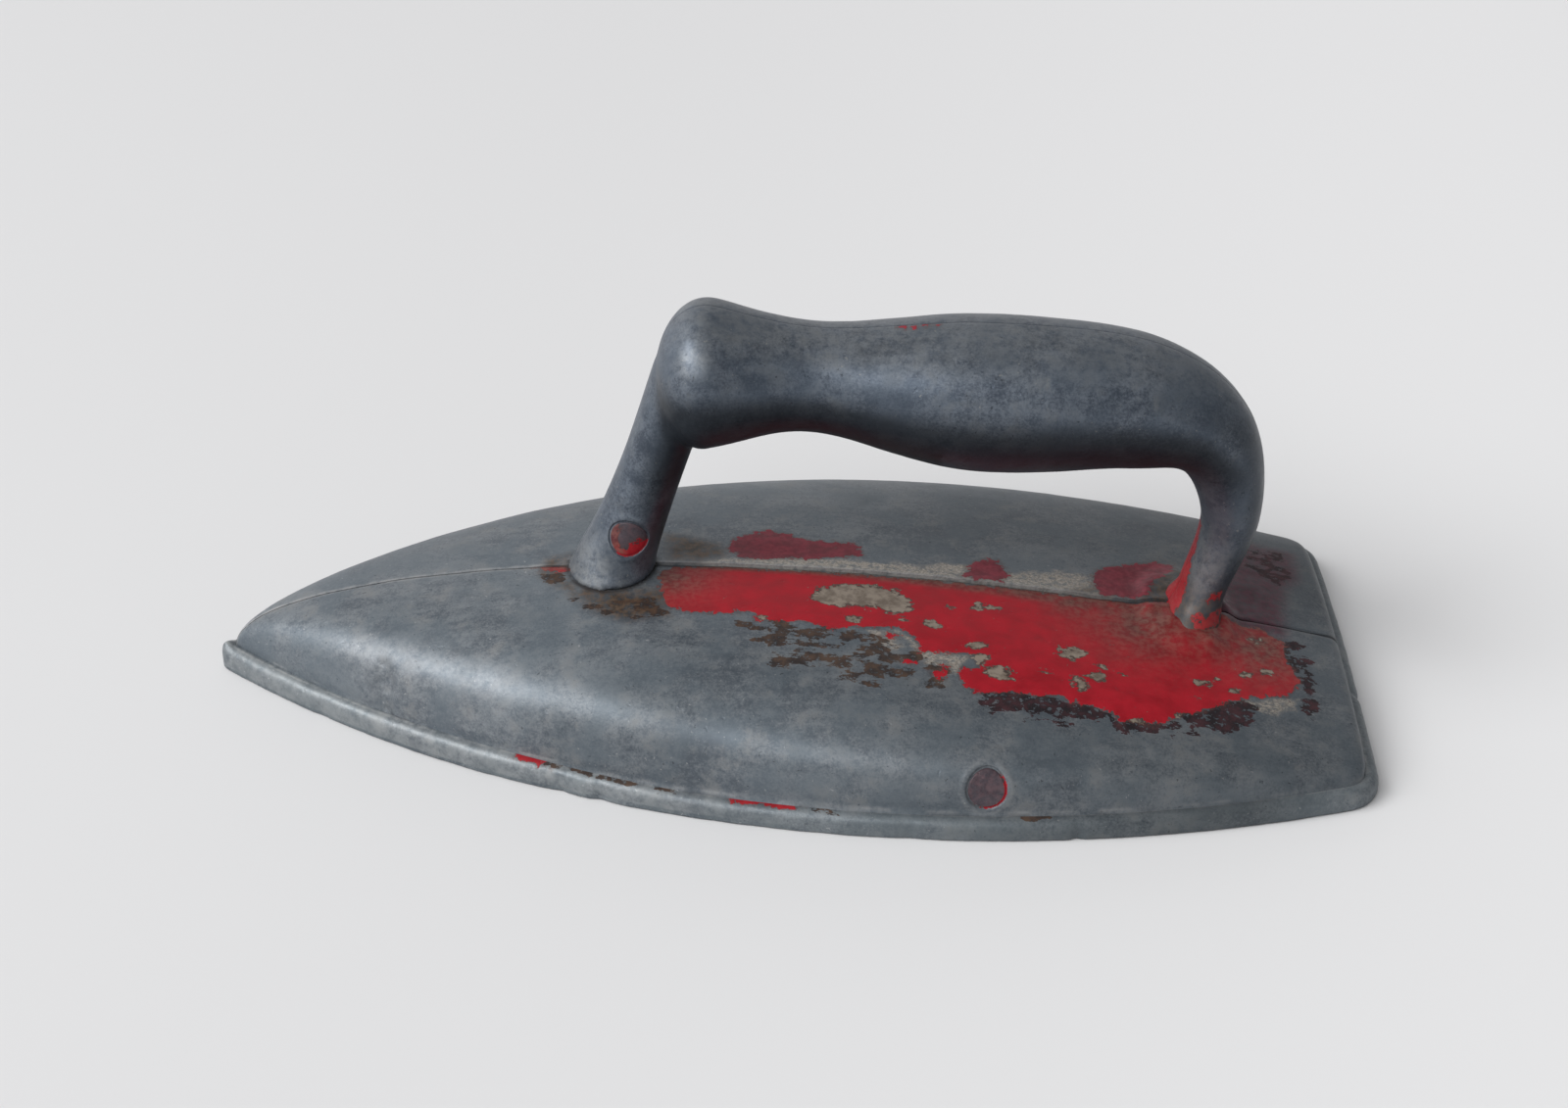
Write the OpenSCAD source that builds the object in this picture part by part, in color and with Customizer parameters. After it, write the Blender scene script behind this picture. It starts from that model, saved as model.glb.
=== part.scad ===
// Toy iron: two cast body halves and two cast handle halves on a flanged sole, held by two cross rivets.
// X runs from the nose (-X) to the heel (+X), Z is up from the sole, and the halves meet on the plane Y = 0.

/* [Body] */
// Length from nose to heel
body_len = 115; // [95:1:135]
// Greatest width, across the sole
body_w = 58; // [48:0.5:68]
// Place of the greatest width, from the middle of the length
widest_x = 19; // [8:0.5:26]
// Radius of the nose, seen from above
nose_r = 1.5; // [0.6:0.1:4]
// Radius of the heel corners, seen from above
heel_corner_r = 4.2; // [3.4:0.1:8]
// How far the heel edge bows out in the middle
heel_bow = 0.5; // [0:0.1:1.5]
// Height of the deck's high point above the sole plate
deck_rise = 10.2; // [8:0.1:14]
// Place of the high point, from the middle of the length
deck_x = -14; // [-24:0.5:0]
// Height of the deck's rear end above the sole plate
heel_rise = 2.2; // [1.6:0.1:4]
// Radius of the edge above the heel wall
heel_edge_r = 1; // [0.3:0.1:1.4]
// Thickness of the cast shell
wall = 2; // [1.4:0.1:2.6]
// Solid metal behind the nose
nose_solid = 9; // [6:0.5:14]
// Solid metal ahead of the heel wall
heel_solid = 8; // [5:0.5:12]

/* [Sole] */
// Thickness of the sole plate
plate_t = 2.2; // [1.6:0.1:3]
// Width of the ledge that shows round the body
ledge = 1.3; // [1.2:0.1:2]
// Height of the plate's upright edge
edge_h = 1; // [0.8:0.1:1.5]
// Inward run of the round corner above the edge
edge_soft = 1.1; // [0.4:0.1:1.2]
// Bevel round the underside
foot_bevel = 0.3; // [0.1:0.1:0.6]
// Place of the nose tongue, from the middle of the length
tongue_x = -40; // [-44:0.5:-32]
// Thickness of the nose tongue, across the width
tongue_t = 2.4; // [1.6:0.1:4]
// Width of the rear lug, across the width
sole_lug_w = 8; // [4:0.5:16]
// Radius of the rounded top of the tongue and the lug
sole_lug_r = 2.2; // [1.8:0.1:3]

/* [Handle] */
// Place of the front foot, from the middle of the length
front_foot_x = -17.4; // [-22:0.1:-13]
// Length of the front foot
front_foot_len = 8.7; // [8:0.1:13]
// Width of the front foot
front_foot_w = 10.4; // [8:0.1:12]
// Place of the front ankle, where the foot has drawn in
front_ankle_x = -15.9; // [-20:0.1:-12]
// Height of the front ankle above the deck
front_ankle_rise = 3.6; // [2.6:0.1:5]
// Thickness of the front ankle
front_ankle_t = 7.1; // [6.4:0.1:9]
// Width of the front ankle
front_ankle_w = 7.7; // [6.8:0.1:10]
// Place of the front post's slimmest part
shin_x = -13; // [-16:0.1:-10]
// Height of the slimmest part above the deck
shin_rise = 11.6; // [9:0.1:14]
// Thickness of the slimmest part
shin_t = 6.2; // [5.4:0.1:8]
// Width of the slimmest part
shin_w = 7.2; // [6:0.1:9]
// Place of the front post's top, inside the bulb
post_top_x = -9.5; // [-11:0.1:-7.5]
// Height of the post's top above the deck
post_top_rise = 22; // [19:0.1:23]
// Thickness of the post's top
post_top_t = 6.4; // [5.4:0.1:7.4]
// Width of the post's top
post_top_w = 7.8; // [6:0.1:9]
// Place of the bulb at the front of the grip
bulb_x = -7.6; // [-10:0.1:-5]
// Height of the bulb's middle above the deck
bulb_rise = 21.7; // [19:0.1:25]
// Thickness of the bulb
bulb_t = 14.7; // [12:0.1:18]
// Width of the bulb
bulb_w = 15.2; // [12:0.1:18]
// Length of the dome ahead of the bulb
dome_len = 4.9; // [3.5:0.1:7]
// Place of the waist behind the bulb
waist_x = 2.9; // [0:0.1:6]
// Height of the waist's middle above the deck
waist_rise = 21.4; // [18:0.1:25]
// Thickness of the waist
waist_t = 10.5; // [8:0.1:13]
// Width of the waist
waist_w = 11.4; // [9:0.1:14]
// Place of the belly of the grip
belly_x = 18; // [13:0.1:23]
// Height of the belly's middle above the deck
belly_rise = 19.8; // [16:0.1:24]
// Thickness of the belly
belly_t = 15; // [12:0.1:18]
// Width of the belly
belly_w = 15.8; // [12:0.1:20]
// Place of the grip's rear shoulder
shoulder_x = 33.2; // [29:0.1:36]
// Height of the shoulder's middle above the deck
shoulder_rise = 19.1; // [15:0.1:22]
// Thickness of the shoulder
shoulder_t = 13.2; // [10:0.1:15]
// Width of the shoulder
shoulder_w = 14.2; // [10:0.1:17]
// Place of the bend into the rear post
bend_x = 41.2; // [39:0.1:44]
// Height of the bend's middle above the deck
bend_rise = 15.5; // [13:0.1:18]
// Thickness of the bend
bend_t = 9; // [7:0.1:11]
// Width of the bend
bend_w = 10.6; // [8:0.1:13]
// Place of the rear post
rear_post_x = 43.9; // [41:0.1:47]
// Height of the rear post's middle above the deck at its foot
rear_post_rise = 12.2; // [9:0.1:13]
// Thickness of the rear post
rear_post_t = 5.9; // [4.6:0.1:8]
// Width of the rear post
rear_post_w = 7.6; // [5.5:0.1:10]
// Place of the rear ankle, above the flared foot
rear_ankle_x = 41.9; // [39:0.1:44]
// Height of the rear ankle above the deck at its foot
rear_ankle_rise = 3.6; // [2.8:0.1:5]
// Thickness of the rear ankle
rear_ankle_t = 4.7; // [4.4:0.1:7]
// Width of the rear ankle
rear_ankle_w = 7; // [5.5:0.1:9]
// Place of the rear foot
rear_foot_x = 41; // [38:0.1:43]
// Length of the rear foot
rear_foot_len = 5.8; // [5.2:0.1:9]
// Width of the rear foot
rear_foot_w = 10.6; // [8:0.1:12]
// Length of the tenon under the rear foot
tenon_len = 3.6; // [2.4:0.1:4.6]
// Width of the tenon under the rear foot
tenon_w = 4; // [2.8:0.1:5]
// Thickness of the lip that keeps the tenon in the body
tenon_lip_t = 0.9; // [0.5:0.1:1.2]
// How far the lip stands out on each side
tenon_lip = 1; // [0.5:0.1:1.6]

/* [Rivets] */
// Diameter of a rivet's shank
rivet_d = 2.2; // [1.4:0.1:2.4]
// Diameter of a rivet's head
rivet_head_d = 3.1; // [2.7:0.1:3.4]
// Thickness of a rivet's head
rivet_head_t = 0.7; // [0.4:0.1:1]
// Diameter of the round recess for a head
recess_d = 4.2; // [3.8:0.1:4.8]
// Depth of the recess, where the surface stands highest
recess_depth = 1; // [0.6:0.1:1.1]
// Share of the way from the front ankle to the slimmest part at which the post rivet sits
post_rivet_share = 0.24; // [0.15:0.01:0.35]
// Place of the body rivet, from the middle of the length
body_rivet_x = 19.2; // [10:0.1:28]
// Height of the body rivet above the sole plate
body_rivet_rise = 2.6; // [2.2:0.1:3.4]
// Thickness of one body half's lug in the front post
post_lug_t = 1.3; // [0.8:0.1:1.5]
// Radius of the lug's rounded top
post_lug_r = 2; // [1.6:0.1:2.2]
// Diameter of the pegs in the nose tongue's eye
peg_d = 1.8; // [1.2:0.1:2.2]

/* [Clearances] */
// Gap under the handle's feet
seat_gap = 0.15; // [0.05:0.05:0.3]
// Gap round lugs, tenons and pegs
fit_gap = 0.15; // [0.05:0.05:0.3]
// Gap round a rivet's shank, on the radius
bore_gap = 0.1; // [0.05:0.05:0.2]

/* [Hidden] */
$fn = 64;

// Steps of the lofts: along the body, round its section, across the heel, along and round the handle
body_steps = 40;
section_steps = 12;
heel_steps = 10;
path_steps = 6;
grip_steps = 12;
// Power of the body's rounded-box section at the nose, at the high point and at the heel
nose_power = 2.65;
deck_power = 3.3;
heel_power = 2.8;
// Share of one step by which the body's first section stands off the nose point
tip_share = 0.5;
// Share of a path row over which the handle's direction is measured
reach_share = 0.02;
// Overrun of every cut
overrun = 1;

// Plan outline: one arc for each side, a round nose, two round corners and a bowed heel
nose_run = widest_x + body_len / 2 - nose_r;
side_r = (pow(nose_run, 2) + pow(body_w / 2, 2) - pow(nose_r, 2)) / (body_w - 2 * nose_r);
side_y = side_r - body_w / 2;
nose_c = -body_len / 2 + nose_r;
corner_c = body_len / 2 - heel_bow - heel_corner_r;
corner_y = sqrt(pow(side_r - heel_corner_r, 2) - pow(corner_c - widest_x, 2)) - side_y;

function nose_x(inset) =
    inset < nose_r ? -body_len / 2 + inset : widest_x - sqrt(pow(side_r - inset, 2) - pow(side_y, 2));
function heel_x(inset) = body_len / 2 - heel_bow - inset;
function nose_touch(inset) = nose_c - (nose_r - inset) * nose_run / (side_r - nose_r);
function corner_touch(inset) =
    corner_c + (heel_corner_r - inset) * (corner_c - widest_x) / (side_r - heel_corner_r);
function arc(r, d) = sqrt(max(0, r * r - d * d));
function blend(a, b, t) = a + (b - a) * t;

// Half of the outline's width at x, drawn in by an inset
function half_w(x, inset) =
    inset < nose_r && x < nose_touch(inset) ? arc(nose_r - inset, x - nose_c)
    : inset < heel_corner_r && x > corner_touch(inset) ? corner_y + arc(heel_corner_r - inset, x - corner_c)
    : max(0, arc(side_r - inset, x - widest_x) - side_y);

// The heel's bow, fading out ahead of the corners
bow_from = corner_c - heel_corner_r;
function bowed(x, y) =
    x + heel_bow * pow(max(0, x - bow_from) / (heel_x(0) - bow_from), 2)
        * (1 - pow(y / (corner_y + heel_corner_r), 2));

// Seam profile: a quarter ellipse over the nose, then a long fall to the heel
body_nose = nose_x(ledge);
body_heel = heel_x(ledge);
function heel_drop(x) =
    x > body_heel - heel_edge_r ? heel_edge_r - arc(heel_edge_r, x - body_heel + heel_edge_r) : 0;
function crown(x) =
    plate_t + (x < deck_x
        ? deck_rise * arc(1, (deck_x - x) / (deck_x - body_nose))
        : deck_rise - (deck_rise - heel_rise) * pow((x - deck_x) / (body_heel - deck_x), 2) - heel_drop(x));
function power(x) = x < deck_x
    ? blend(nose_power, deck_power, (x - body_nose) / (deck_x - body_nose))
    : blend(deck_power, heel_power, (x - deck_x) / (body_heel - deck_x));
function rounded(part, p) = pow(max(0, 1 - pow(part, p)), 1 / p);
function deck_z(x, y) =
    plate_t + (crown(x) - plate_t) * rounded(abs(y) / half_w(x, ledge), power(x));
function side_at(x, z) =
    half_w(x, ledge) * rounded((z - plate_t) / (crown(x) - plate_t), power(x));
function deck_slope(x) = atan2(crown(x + overrun) - crown(x - overrun), 2 * overrun);

// Lofting helpers
function quad(a, b, c, d) = [[a, b, c], [a, c, d]];
function flat(lists) = [for (list = lists) for (item = list) item];
function eased(i, n) = (1 - cos(180 * i / n)) / 2;

// One half section of the body, from the seam down to the sole plate
function half_section(x, inset, roof) = [
    for (j = [0 : section_steps])
        let (turn = 90 * j / section_steps)
        let (y = half_w(x, inset) * pow(sin(turn), 2 / power(x)))
        let (z = plate_t + (crown(x) - roof - plate_t) * pow(cos(turn), 2 / power(x)))
        [bowed(x, y), y, z]
];
cavity_nose = body_nose + nose_solid;
cavity_heel = body_heel - heel_solid;

// The +Y half of the shell: skin, cavity, seam faces and the rim that sits on the sole plate
module body_shell() {
    n = body_steps;
    m = section_steps;
    skin = [
        for (i = [0 : n])
            let (s = eased(i + tip_share, n + tip_share))
            half_section(body_nose + (body_heel - body_nose) * s, ledge, 0)
    ];
    hollow = [
        for (i = [0 : n])
            half_section(cavity_nose + (cavity_heel - cavity_nose) * eased(i, n), ledge + wall, wall)
    ];
    feet = [for (ring = [skin[0], skin[n], hollow[0], hollow[n]]) [ring[0].x, 0, plate_t]];
    points = concat(flat(skin), flat(hollow), feet);
    inner = (n + 1) * (m + 1);
    foot = 2 * inner;
    function s(i, j) = i * (m + 1) + j;
    function h(i, j) = inner + s(i, j);
    faces = flat(concat(
        [for (i = [0 : n - 1], j = [0 : m - 1]) quad(s(i, j), s(i, j + 1), s(i + 1, j + 1), s(i + 1, j))],
        [for (i = [0 : n - 1], j = [0 : m - 1]) quad(h(i, j), h(i + 1, j), h(i + 1, j + 1), h(i, j + 1))],
        [for (i = [0 : n - 1]) quad(s(i, 0), s(i + 1, 0), h(i + 1, 0), h(i, 0))],
        [for (i = [0 : n - 1]) quad(h(i, m), h(i + 1, m), s(i + 1, m), s(i, m))],
        [for (j = [0 : m - 1]) [
            [foot, s(0, j + 1), s(0, j)],
            [foot + 1, s(n, j), s(n, j + 1)],
            [foot + 2, h(0, j), h(0, j + 1)],
            [foot + 3, h(n, j + 1), h(n, j)]
        ]],
        [
            quad(s(0, 0), h(0, 0), foot + 2, foot),
            quad(h(n, 0), s(n, 0), foot + 1, foot + 3),
            quad(foot, foot + 2, h(0, m), s(0, m)),
            quad(foot + 3, foot + 1, s(n, m), h(n, m))
        ]
    ));
    polyhedron(points, faces);
}

// Handle: rows of place, height, thickness and width, up the front post and along the grip to the rear foot
deck_top = plate_t + deck_rise;
front_deck = crown(front_foot_x);
rear_deck = crown(rear_foot_x);
post_rows = [
    [front_foot_x, front_deck + seat_gap, front_foot_len, front_foot_w],
    [front_ankle_x, front_deck + front_ankle_rise, front_ankle_t, front_ankle_w],
    [shin_x, front_deck + shin_rise, shin_t, shin_w],
    [post_top_x, front_deck + post_top_rise, post_top_t, post_top_w]
];
grip_rows = [
    [bulb_x, deck_top + bulb_rise, bulb_t, bulb_w],
    [waist_x, deck_top + waist_rise, waist_t, waist_w],
    [belly_x, deck_top + belly_rise, belly_t, belly_w],
    [shoulder_x, deck_top + shoulder_rise, shoulder_t, shoulder_w],
    [bend_x, deck_top + bend_rise, bend_t, bend_w],
    [rear_post_x, rear_deck + rear_post_rise, rear_post_t, rear_post_w],
    [rear_ankle_x, rear_deck + rear_ankle_rise, rear_ankle_t, rear_ankle_w],
    [rear_foot_x, rear_deck + seat_gap, rear_foot_len, rear_foot_w]
];
post_end = len(post_rows) - 1;
grip_end = len(grip_rows) - 1;

// A smooth curve through the rows, with one unit of u from row to row
function row(rows, k) =
    let (end = len(rows) - 1)
    k < 0 ? 2 * rows[0] - rows[1] : k > end ? 2 * rows[end] - rows[end - 1] : rows[k];
function along(rows, u) =
    let (k = min(floor(u), len(rows) - 2), t = u - k)
    let (a = row(rows, k - 1), b = row(rows, k), c = row(rows, k + 1), d = row(rows, k + 2))
    (2 * b + (c - a) * t + (2 * a - 5 * b + 4 * c - d) * t * t + (3 * b - a - 3 * c + d) * t * t * t) / 2;
function path_turn(rows, u) =
    let (from = along(rows, max(0, u - reach_share)), to = along(rows, min(len(rows) - 1, u + reach_share)))
    atan2(to[1] - from[1], to[0] - from[0]);
function smooth(t) = t * t * (3 - 2 * t);

// Sections stand square to the path, and turn level with the deck at either foot
function post_turn(u) =
    blend(90 + deck_slope(front_foot_x), path_turn(post_rows, u), smooth(min(1, u)));
function grip_turn(u) =
    blend(-90 + deck_slope(rear_foot_x), path_turn(grip_rows, u), smooth(min(1, grip_end - u)));

// One half section of the handle, from its inner side round to its outer side
function half_ring(r, turn) = [
    for (j = [0 : grip_steps])
        let (swing = -90 + 180 * j / grip_steps)
        let (off = r[2] / 2 * sin(swing), y = r[3] / 2 * cos(swing))
        [r[0] - off * sin(turn), y, r[1] + off * cos(turn)]
];
function seated(ring) = [for (p = ring) [p.x, p.y, deck_z(p.x, p.y) + seat_gap]];

post_sections = concat(
    [seated(half_ring(post_rows[0], post_turn(0)))],
    [for (k = [1 : post_end * path_steps]) let (u = k / path_steps) half_ring(along(post_rows, u), post_turn(u))]
);
dome_sections = [
    for (k = [1 : path_steps - 1])
        let (a = 90 * k / path_steps, b = grip_rows[0])
        half_ring([b[0] - dome_len * cos(a), b[1], b[2] * sin(a), b[3] * sin(a)], grip_turn(0))
];
grip_sections = concat(
    dome_sections,
    [
        for (k = [0 : grip_end * path_steps - 1])
            let (u = k / path_steps)
            half_ring(along(grip_rows, u), grip_turn(u))
    ],
    [seated(half_ring(grip_rows[grip_end], grip_turn(grip_end)))]
);

// The +Y half of a lofted bar, flat on the seam
module half_loft(sections) {
    n = len(sections) - 1;
    m = grip_steps;
    function p(k, j) = k * (m + 1) + j;
    faces = flat(concat(
        [for (k = [0 : n - 1], j = [0 : m - 1]) quad(p(k, j), p(k + 1, j), p(k + 1, j + 1), p(k, j + 1))],
        [for (k = [0 : n - 1]) quad(p(k, m), p(k + 1, m), p(k + 1, 0), p(k, 0))],
        [for (j = [1 : m - 1]) [[p(0, 0), p(0, j), p(0, j + 1)], [p(n, 0), p(n, j + 1), p(n, j)]]]
    ));
    polyhedron(flat(sections), faces);
}

// Where the rivets lie, and where their heads bear
post_rivet_at = along(post_rows, 1 + post_rivet_share);
post_bearing = post_rivet_at[3] / 2 - recess_depth;
body_rivet_z = plate_t + body_rivet_rise;
body_bearing = side_at(body_rivet_x, body_rivet_z) - recess_depth;
bore_r = rivet_d / 2 + bore_gap;

// A round bar along Y, from y0 to y1, through a point of the X-Z plane
module cross_bar(x, z, r, y0, y1) {
    translate([x, y0, z])
        rotate([-90, 0, 0])
            cylinder(h = y1 - y0, r = r);
}

// A rivet with a flat disc head at each end, whose bearing faces lie at y = bearing on either side
module rivet(x, z, bearing) {
    tip = bearing + rivet_head_t;
    head_r = rivet_head_d / 2;
    shank_r = rivet_d / 2;
    translate([x, 0, z])
        rotate([-90, 0, 0])
            rotate_extrude()
                polygon([
                    [0, -tip], [head_r, -tip], [head_r, -bearing], [shank_r, -bearing],
                    [shank_r, bearing], [head_r, bearing], [head_r, tip], [0, tip]
                ]);
}

// A round-ended bar in the X-Z plane, between two points, from y0 to y1
module strap(from, to, r, y0, y1) {
    run = to - from;
    translate([0, y1, 0])
        rotate([90, 0, 0])
            linear_extrude(height = y1 - y0) {
                translate(from)
                    circle(r);
                translate(to)
                    circle(r);
                translate(from)
                    rotate(atan2(run.y, run.x))
                        translate([0, -r])
                            square([norm(run), 2 * r]);
            }
}

// The lug inside the front foot leans with the post; grown by a gap it is the foot's pocket
module post_lug(gap) {
    strap(
        [front_foot_x, front_deck - wall / 2], [post_rivet_at[0], post_rivet_at[1]],
        post_lug_r + gap, gap > 0 ? -overrun : 0, post_lug_t + gap
    );
}

// The tenon under the rear foot, with the lip that hooks below the deck
lip_top = crown(rear_foot_x + tenon_len / 2) - wall - fit_gap;
module tenon() {
    translate([rear_foot_x - tenon_len / 2, 0, lip_top - tenon_lip_t]) {
        cube([tenon_len, tenon_w / 2, rear_deck + rear_ankle_rise / 2 - lip_top + tenon_lip_t]);
        cube([tenon_len, tenon_w / 2 + tenon_lip, tenon_lip_t]);
    }
}

module tenon_socket() {
    translate([rear_foot_x - tenon_len / 2 - fit_gap, -overrun, lip_top - overrun])
        cube([tenon_len + 2 * fit_gap, overrun + tenon_w / 2 + fit_gap, rear_deck + 2 * overrun - lip_top]);
}

module body_half() {
    peg_end = side_at(tongue_x, body_rivet_z) - wall / 2;
    difference() {
        union() {
            body_shell();
            post_lug(0);
            cross_bar(tongue_x, body_rivet_z, peg_d / 2, fit_gap, peg_end);
        }
        cross_bar(post_rivet_at[0], post_rivet_at[1], bore_r, -overrun, post_lug_t + overrun);
        cross_bar(body_rivet_x, body_rivet_z, bore_r, 0, body_w / 2);
        cross_bar(body_rivet_x, body_rivet_z, recess_d / 2, body_bearing, body_w / 2);
        tenon_socket();
    }
}

module handle_half() {
    difference() {
        union() {
            half_loft(post_sections);
            half_loft(grip_sections);
            tenon();
        }
        post_lug(fit_gap);
        cross_bar(post_rivet_at[0], post_rivet_at[1], bore_r, -overrun, front_ankle_w);
        cross_bar(post_rivet_at[0], post_rivet_at[1], recess_d / 2, post_bearing, front_ankle_w);
    }
}

module left_body_half() {
    color("slategray")
        mirror([0, 1, 0])
            body_half();
}

module right_body_half() {
    color("lightslategray")
        body_half();
}

module left_handle_half() {
    color("dimgray")
        mirror([0, 1, 0])
            handle_half();
}

module right_handle_half() {
    color("gray")
        handle_half();
}

// Outline of the sole at an inset and a height, round from the nose by the +Y side and back
function sole_ring(inset, z) =
    let (n = body_steps, x0 = nose_x(inset), run = heel_x(inset) - x0)
    let (side = [for (i = [0 : n]) let (x = x0 + run * eased(i, n), y = half_w(x, inset)) [bowed(x, y), y, z]])
    let (end_y = side[n].y)
    concat(
        side,
        [
            for (k = [1 : heel_steps - 1])
                let (y = end_y * (1 - 2 * k / heel_steps))
                [bowed(heel_x(inset), y), y, z]
        ],
        [for (i = [n : -1 : 1]) [side[i].x, -side[i].y, z]]
    );

module sole_slab() {
    rings = [
        sole_ring(foot_bevel, 0),
        sole_ring(0, foot_bevel),
        sole_ring(0, edge_h),
        sole_ring(edge_soft / 3, (edge_h + 2 * plate_t) / 3),
        sole_ring(edge_soft, plate_t)
    ];
    c = len(rings[0]);
    top = len(rings) - 1;
    faces = flat(concat(
        [
            for (k = [0 : top - 1], i = [0 : c - 1])
                let (next = (i + 1) % c)
                quad(k * c + i, k * c + next, (k + 1) * c + next, (k + 1) * c + i)
        ],
        [for (i = [1 : c - 2]) [[0, i + 1, i], [top * c, top * c + i, top * c + i + 1]]]
    ));
    polyhedron(flat(rings), faces);
}

module sole_plate() {
    color("darkslategray")
        difference() {
            union() {
                sole_slab();
                strap(
                    [tongue_x, plate_t / 2 + sole_lug_r], [tongue_x, body_rivet_z],
                    sole_lug_r, -tongue_t / 2, tongue_t / 2
                );
                strap(
                    [body_rivet_x, plate_t / 2 + sole_lug_r], [body_rivet_x, body_rivet_z],
                    sole_lug_r, -sole_lug_w / 2, sole_lug_w / 2
                );
            }
            cross_bar(tongue_x, body_rivet_z, peg_d / 2 + fit_gap, -tongue_t, tongue_t);
            cross_bar(body_rivet_x, body_rivet_z, bore_r, -sole_lug_w, sole_lug_w);
        }
}

module post_rivet() {
    color("silver")
        rivet(post_rivet_at[0], post_rivet_at[1], post_bearing);
}

module body_rivet() {
    color("silver")
        rivet(body_rivet_x, body_rivet_z, body_bearing);
}

sole_plate();
left_body_half();
right_body_half();
left_handle_half();
right_handle_half();
post_rivet();
body_rivet();
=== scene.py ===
import math

import bmesh
import bpy
import numpy as np
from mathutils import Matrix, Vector
from mathutils.bvhtree import BVHTree


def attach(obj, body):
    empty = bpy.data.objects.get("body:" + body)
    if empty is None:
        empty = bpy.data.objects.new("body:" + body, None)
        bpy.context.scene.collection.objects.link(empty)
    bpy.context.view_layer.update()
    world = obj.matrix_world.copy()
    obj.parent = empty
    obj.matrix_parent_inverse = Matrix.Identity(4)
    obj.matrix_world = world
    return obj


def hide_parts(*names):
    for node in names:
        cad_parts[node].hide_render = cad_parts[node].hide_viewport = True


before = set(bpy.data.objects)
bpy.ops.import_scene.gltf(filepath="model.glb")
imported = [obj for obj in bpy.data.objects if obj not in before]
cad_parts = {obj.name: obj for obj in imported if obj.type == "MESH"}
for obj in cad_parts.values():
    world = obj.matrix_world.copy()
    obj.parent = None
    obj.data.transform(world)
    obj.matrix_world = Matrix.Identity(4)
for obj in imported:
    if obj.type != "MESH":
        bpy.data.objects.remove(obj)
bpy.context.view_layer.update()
scene = bpy.context.scene
print("frame loaded:", ", ".join(sorted(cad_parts)))

toMetres = 0.001  # shapes below are in mm, like the castings
outside = -9.0  # a mark well away from any patch, in mm
# the mark for darkening is painted shade; the joint-dirt mark also holds painted shade, and the
# rubbed-edge mark also holds painted highlights and lit sides
finishMarks = {
    "red": outside, "chip": outside, "soot": outside, "brown": outside, "pale": outside,
    "dull": 0, "old": 0, "dust": 0, "smoke": 0, "edge": 0, "grimeAndShade": 0, "dark": 0,
}


def fade(t):
    return t * t * (3 - 2 * t)


def step(low, high, value):
    return fade(np.clip((value - low) / (high - low), 0, 1))


def hill(distance, width):
    return np.exp(-np.square(distance / width))


def lattice(cells, seed):  # one fixed value from -1 to 1 for each cell
    x, y, z = (cells[:, k].astype(np.int64).astype(np.uint64) for k in range(3))
    h = x * np.uint64(374761393) + y * np.uint64(668265263) + z * np.uint64(2246822519)
    h = (h + np.uint64(seed * 3266489917)) & np.uint64(0xFFFFFFFF)
    h = ((h ^ (h >> np.uint64(15))) * np.uint64(2246822519)) & np.uint64(0xFFFFFFFF)
    h = ((h ^ (h >> np.uint64(13))) * np.uint64(3266489917)) & np.uint64(0xFFFFFFFF)
    return (h ^ (h >> np.uint64(16))).astype(float) / 2 ** 31 - 1


def lumps(points, size, seed):  # smooth noise from -1 to 1, size is in mm
    p = np.asarray(points, float) / size
    cell = np.floor(p)
    f = fade(p - cell)
    total = np.zeros(len(p))
    for dx in (0, 1):
        for dy in (0, 1):
            for dz in (0, 1):
                weight = np.abs(1 - dx - f[:, 0]) * np.abs(1 - dy - f[:, 1]) * np.abs(1 - dz - f[:, 2])
                total += weight * lattice(cell + (dx, dy, dz), seed)
    return total


def waves(points, rows):  # amount, size and seed of each
    return sum(amount * lumps(points, size, seed) for amount, size, seed in rows)


def insideBy(outline, u, v):  # distance from an outline, positive inside
    near = np.full(u.shape, 1e6)
    inside = np.zeros(u.shape, bool)
    for (au, av), (bu, bv) in zip(outline, outline[1:] + outline[:1]):
        eu, ev = bu - au, bv - av
        t = np.clip(((u - au) * eu + (v - av) * ev) / (eu * eu + ev * ev), 0, 1)
        near = np.minimum(near, np.hypot(u - au - t * eu, v - av - t * ev))
        inside ^= ((av > v) != (bv > v)) & (u < eu * (v - av) / (ev if ev else 1e-9) + au)
    return np.where(inside, near, -near)


def inPatches(patches, u, v):
    return np.max([insideBy(patch, u, v) for patch in patches], axis=0)


def onSpots(spots, u, v, squash=1.0):  # place and radius; squash below 1 draws out along u
    return np.max([r - np.hypot((u - su) * squash, v - sv) for su, sv, r in spots], axis=0)


def gathered(items, name):
    flat = np.empty(len(items) * 3)
    items.foreach_get(name, flat)
    return flat.reshape(-1, 3)


def meshPoints(mesh):
    return gathered(mesh.vertices, "co")


def meshNormals(mesh):
    return gathered(mesh.vertex_normals, "vector")


def setPoints(mesh, points):
    mesh.vertices.foreach_set("co", np.ascontiguousarray(points, float).ravel())
    mesh.update()


def newMesh(name, points, faces):
    mesh = bpy.data.meshes.new(name)
    mesh.from_pydata([tuple(p) for p in points], [], faces)
    bm = bmesh.new()
    bm.from_mesh(mesh)
    bmesh.ops.remove_doubles(bm, verts=bm.verts, dist=1e-4)
    bmesh.ops.dissolve_degenerate(bm, edges=bm.edges, dist=1e-5)
    bmesh.ops.recalc_face_normals(bm, faces=bm.faces)
    bm.to_mesh(mesh)
    bm.free()
    mesh.update()
    return mesh


def bandFaces(rows, count, first=0):  # four-sided faces between closed rings of points
    faces = []
    for k in range(rows - 1):
        low, high = first + k * count, first + (k + 1) * count
        for j in range(count):
            n = (j + 1) % count
            faces.append((low + j, low + n, high + n, high + j))
    return faces


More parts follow.
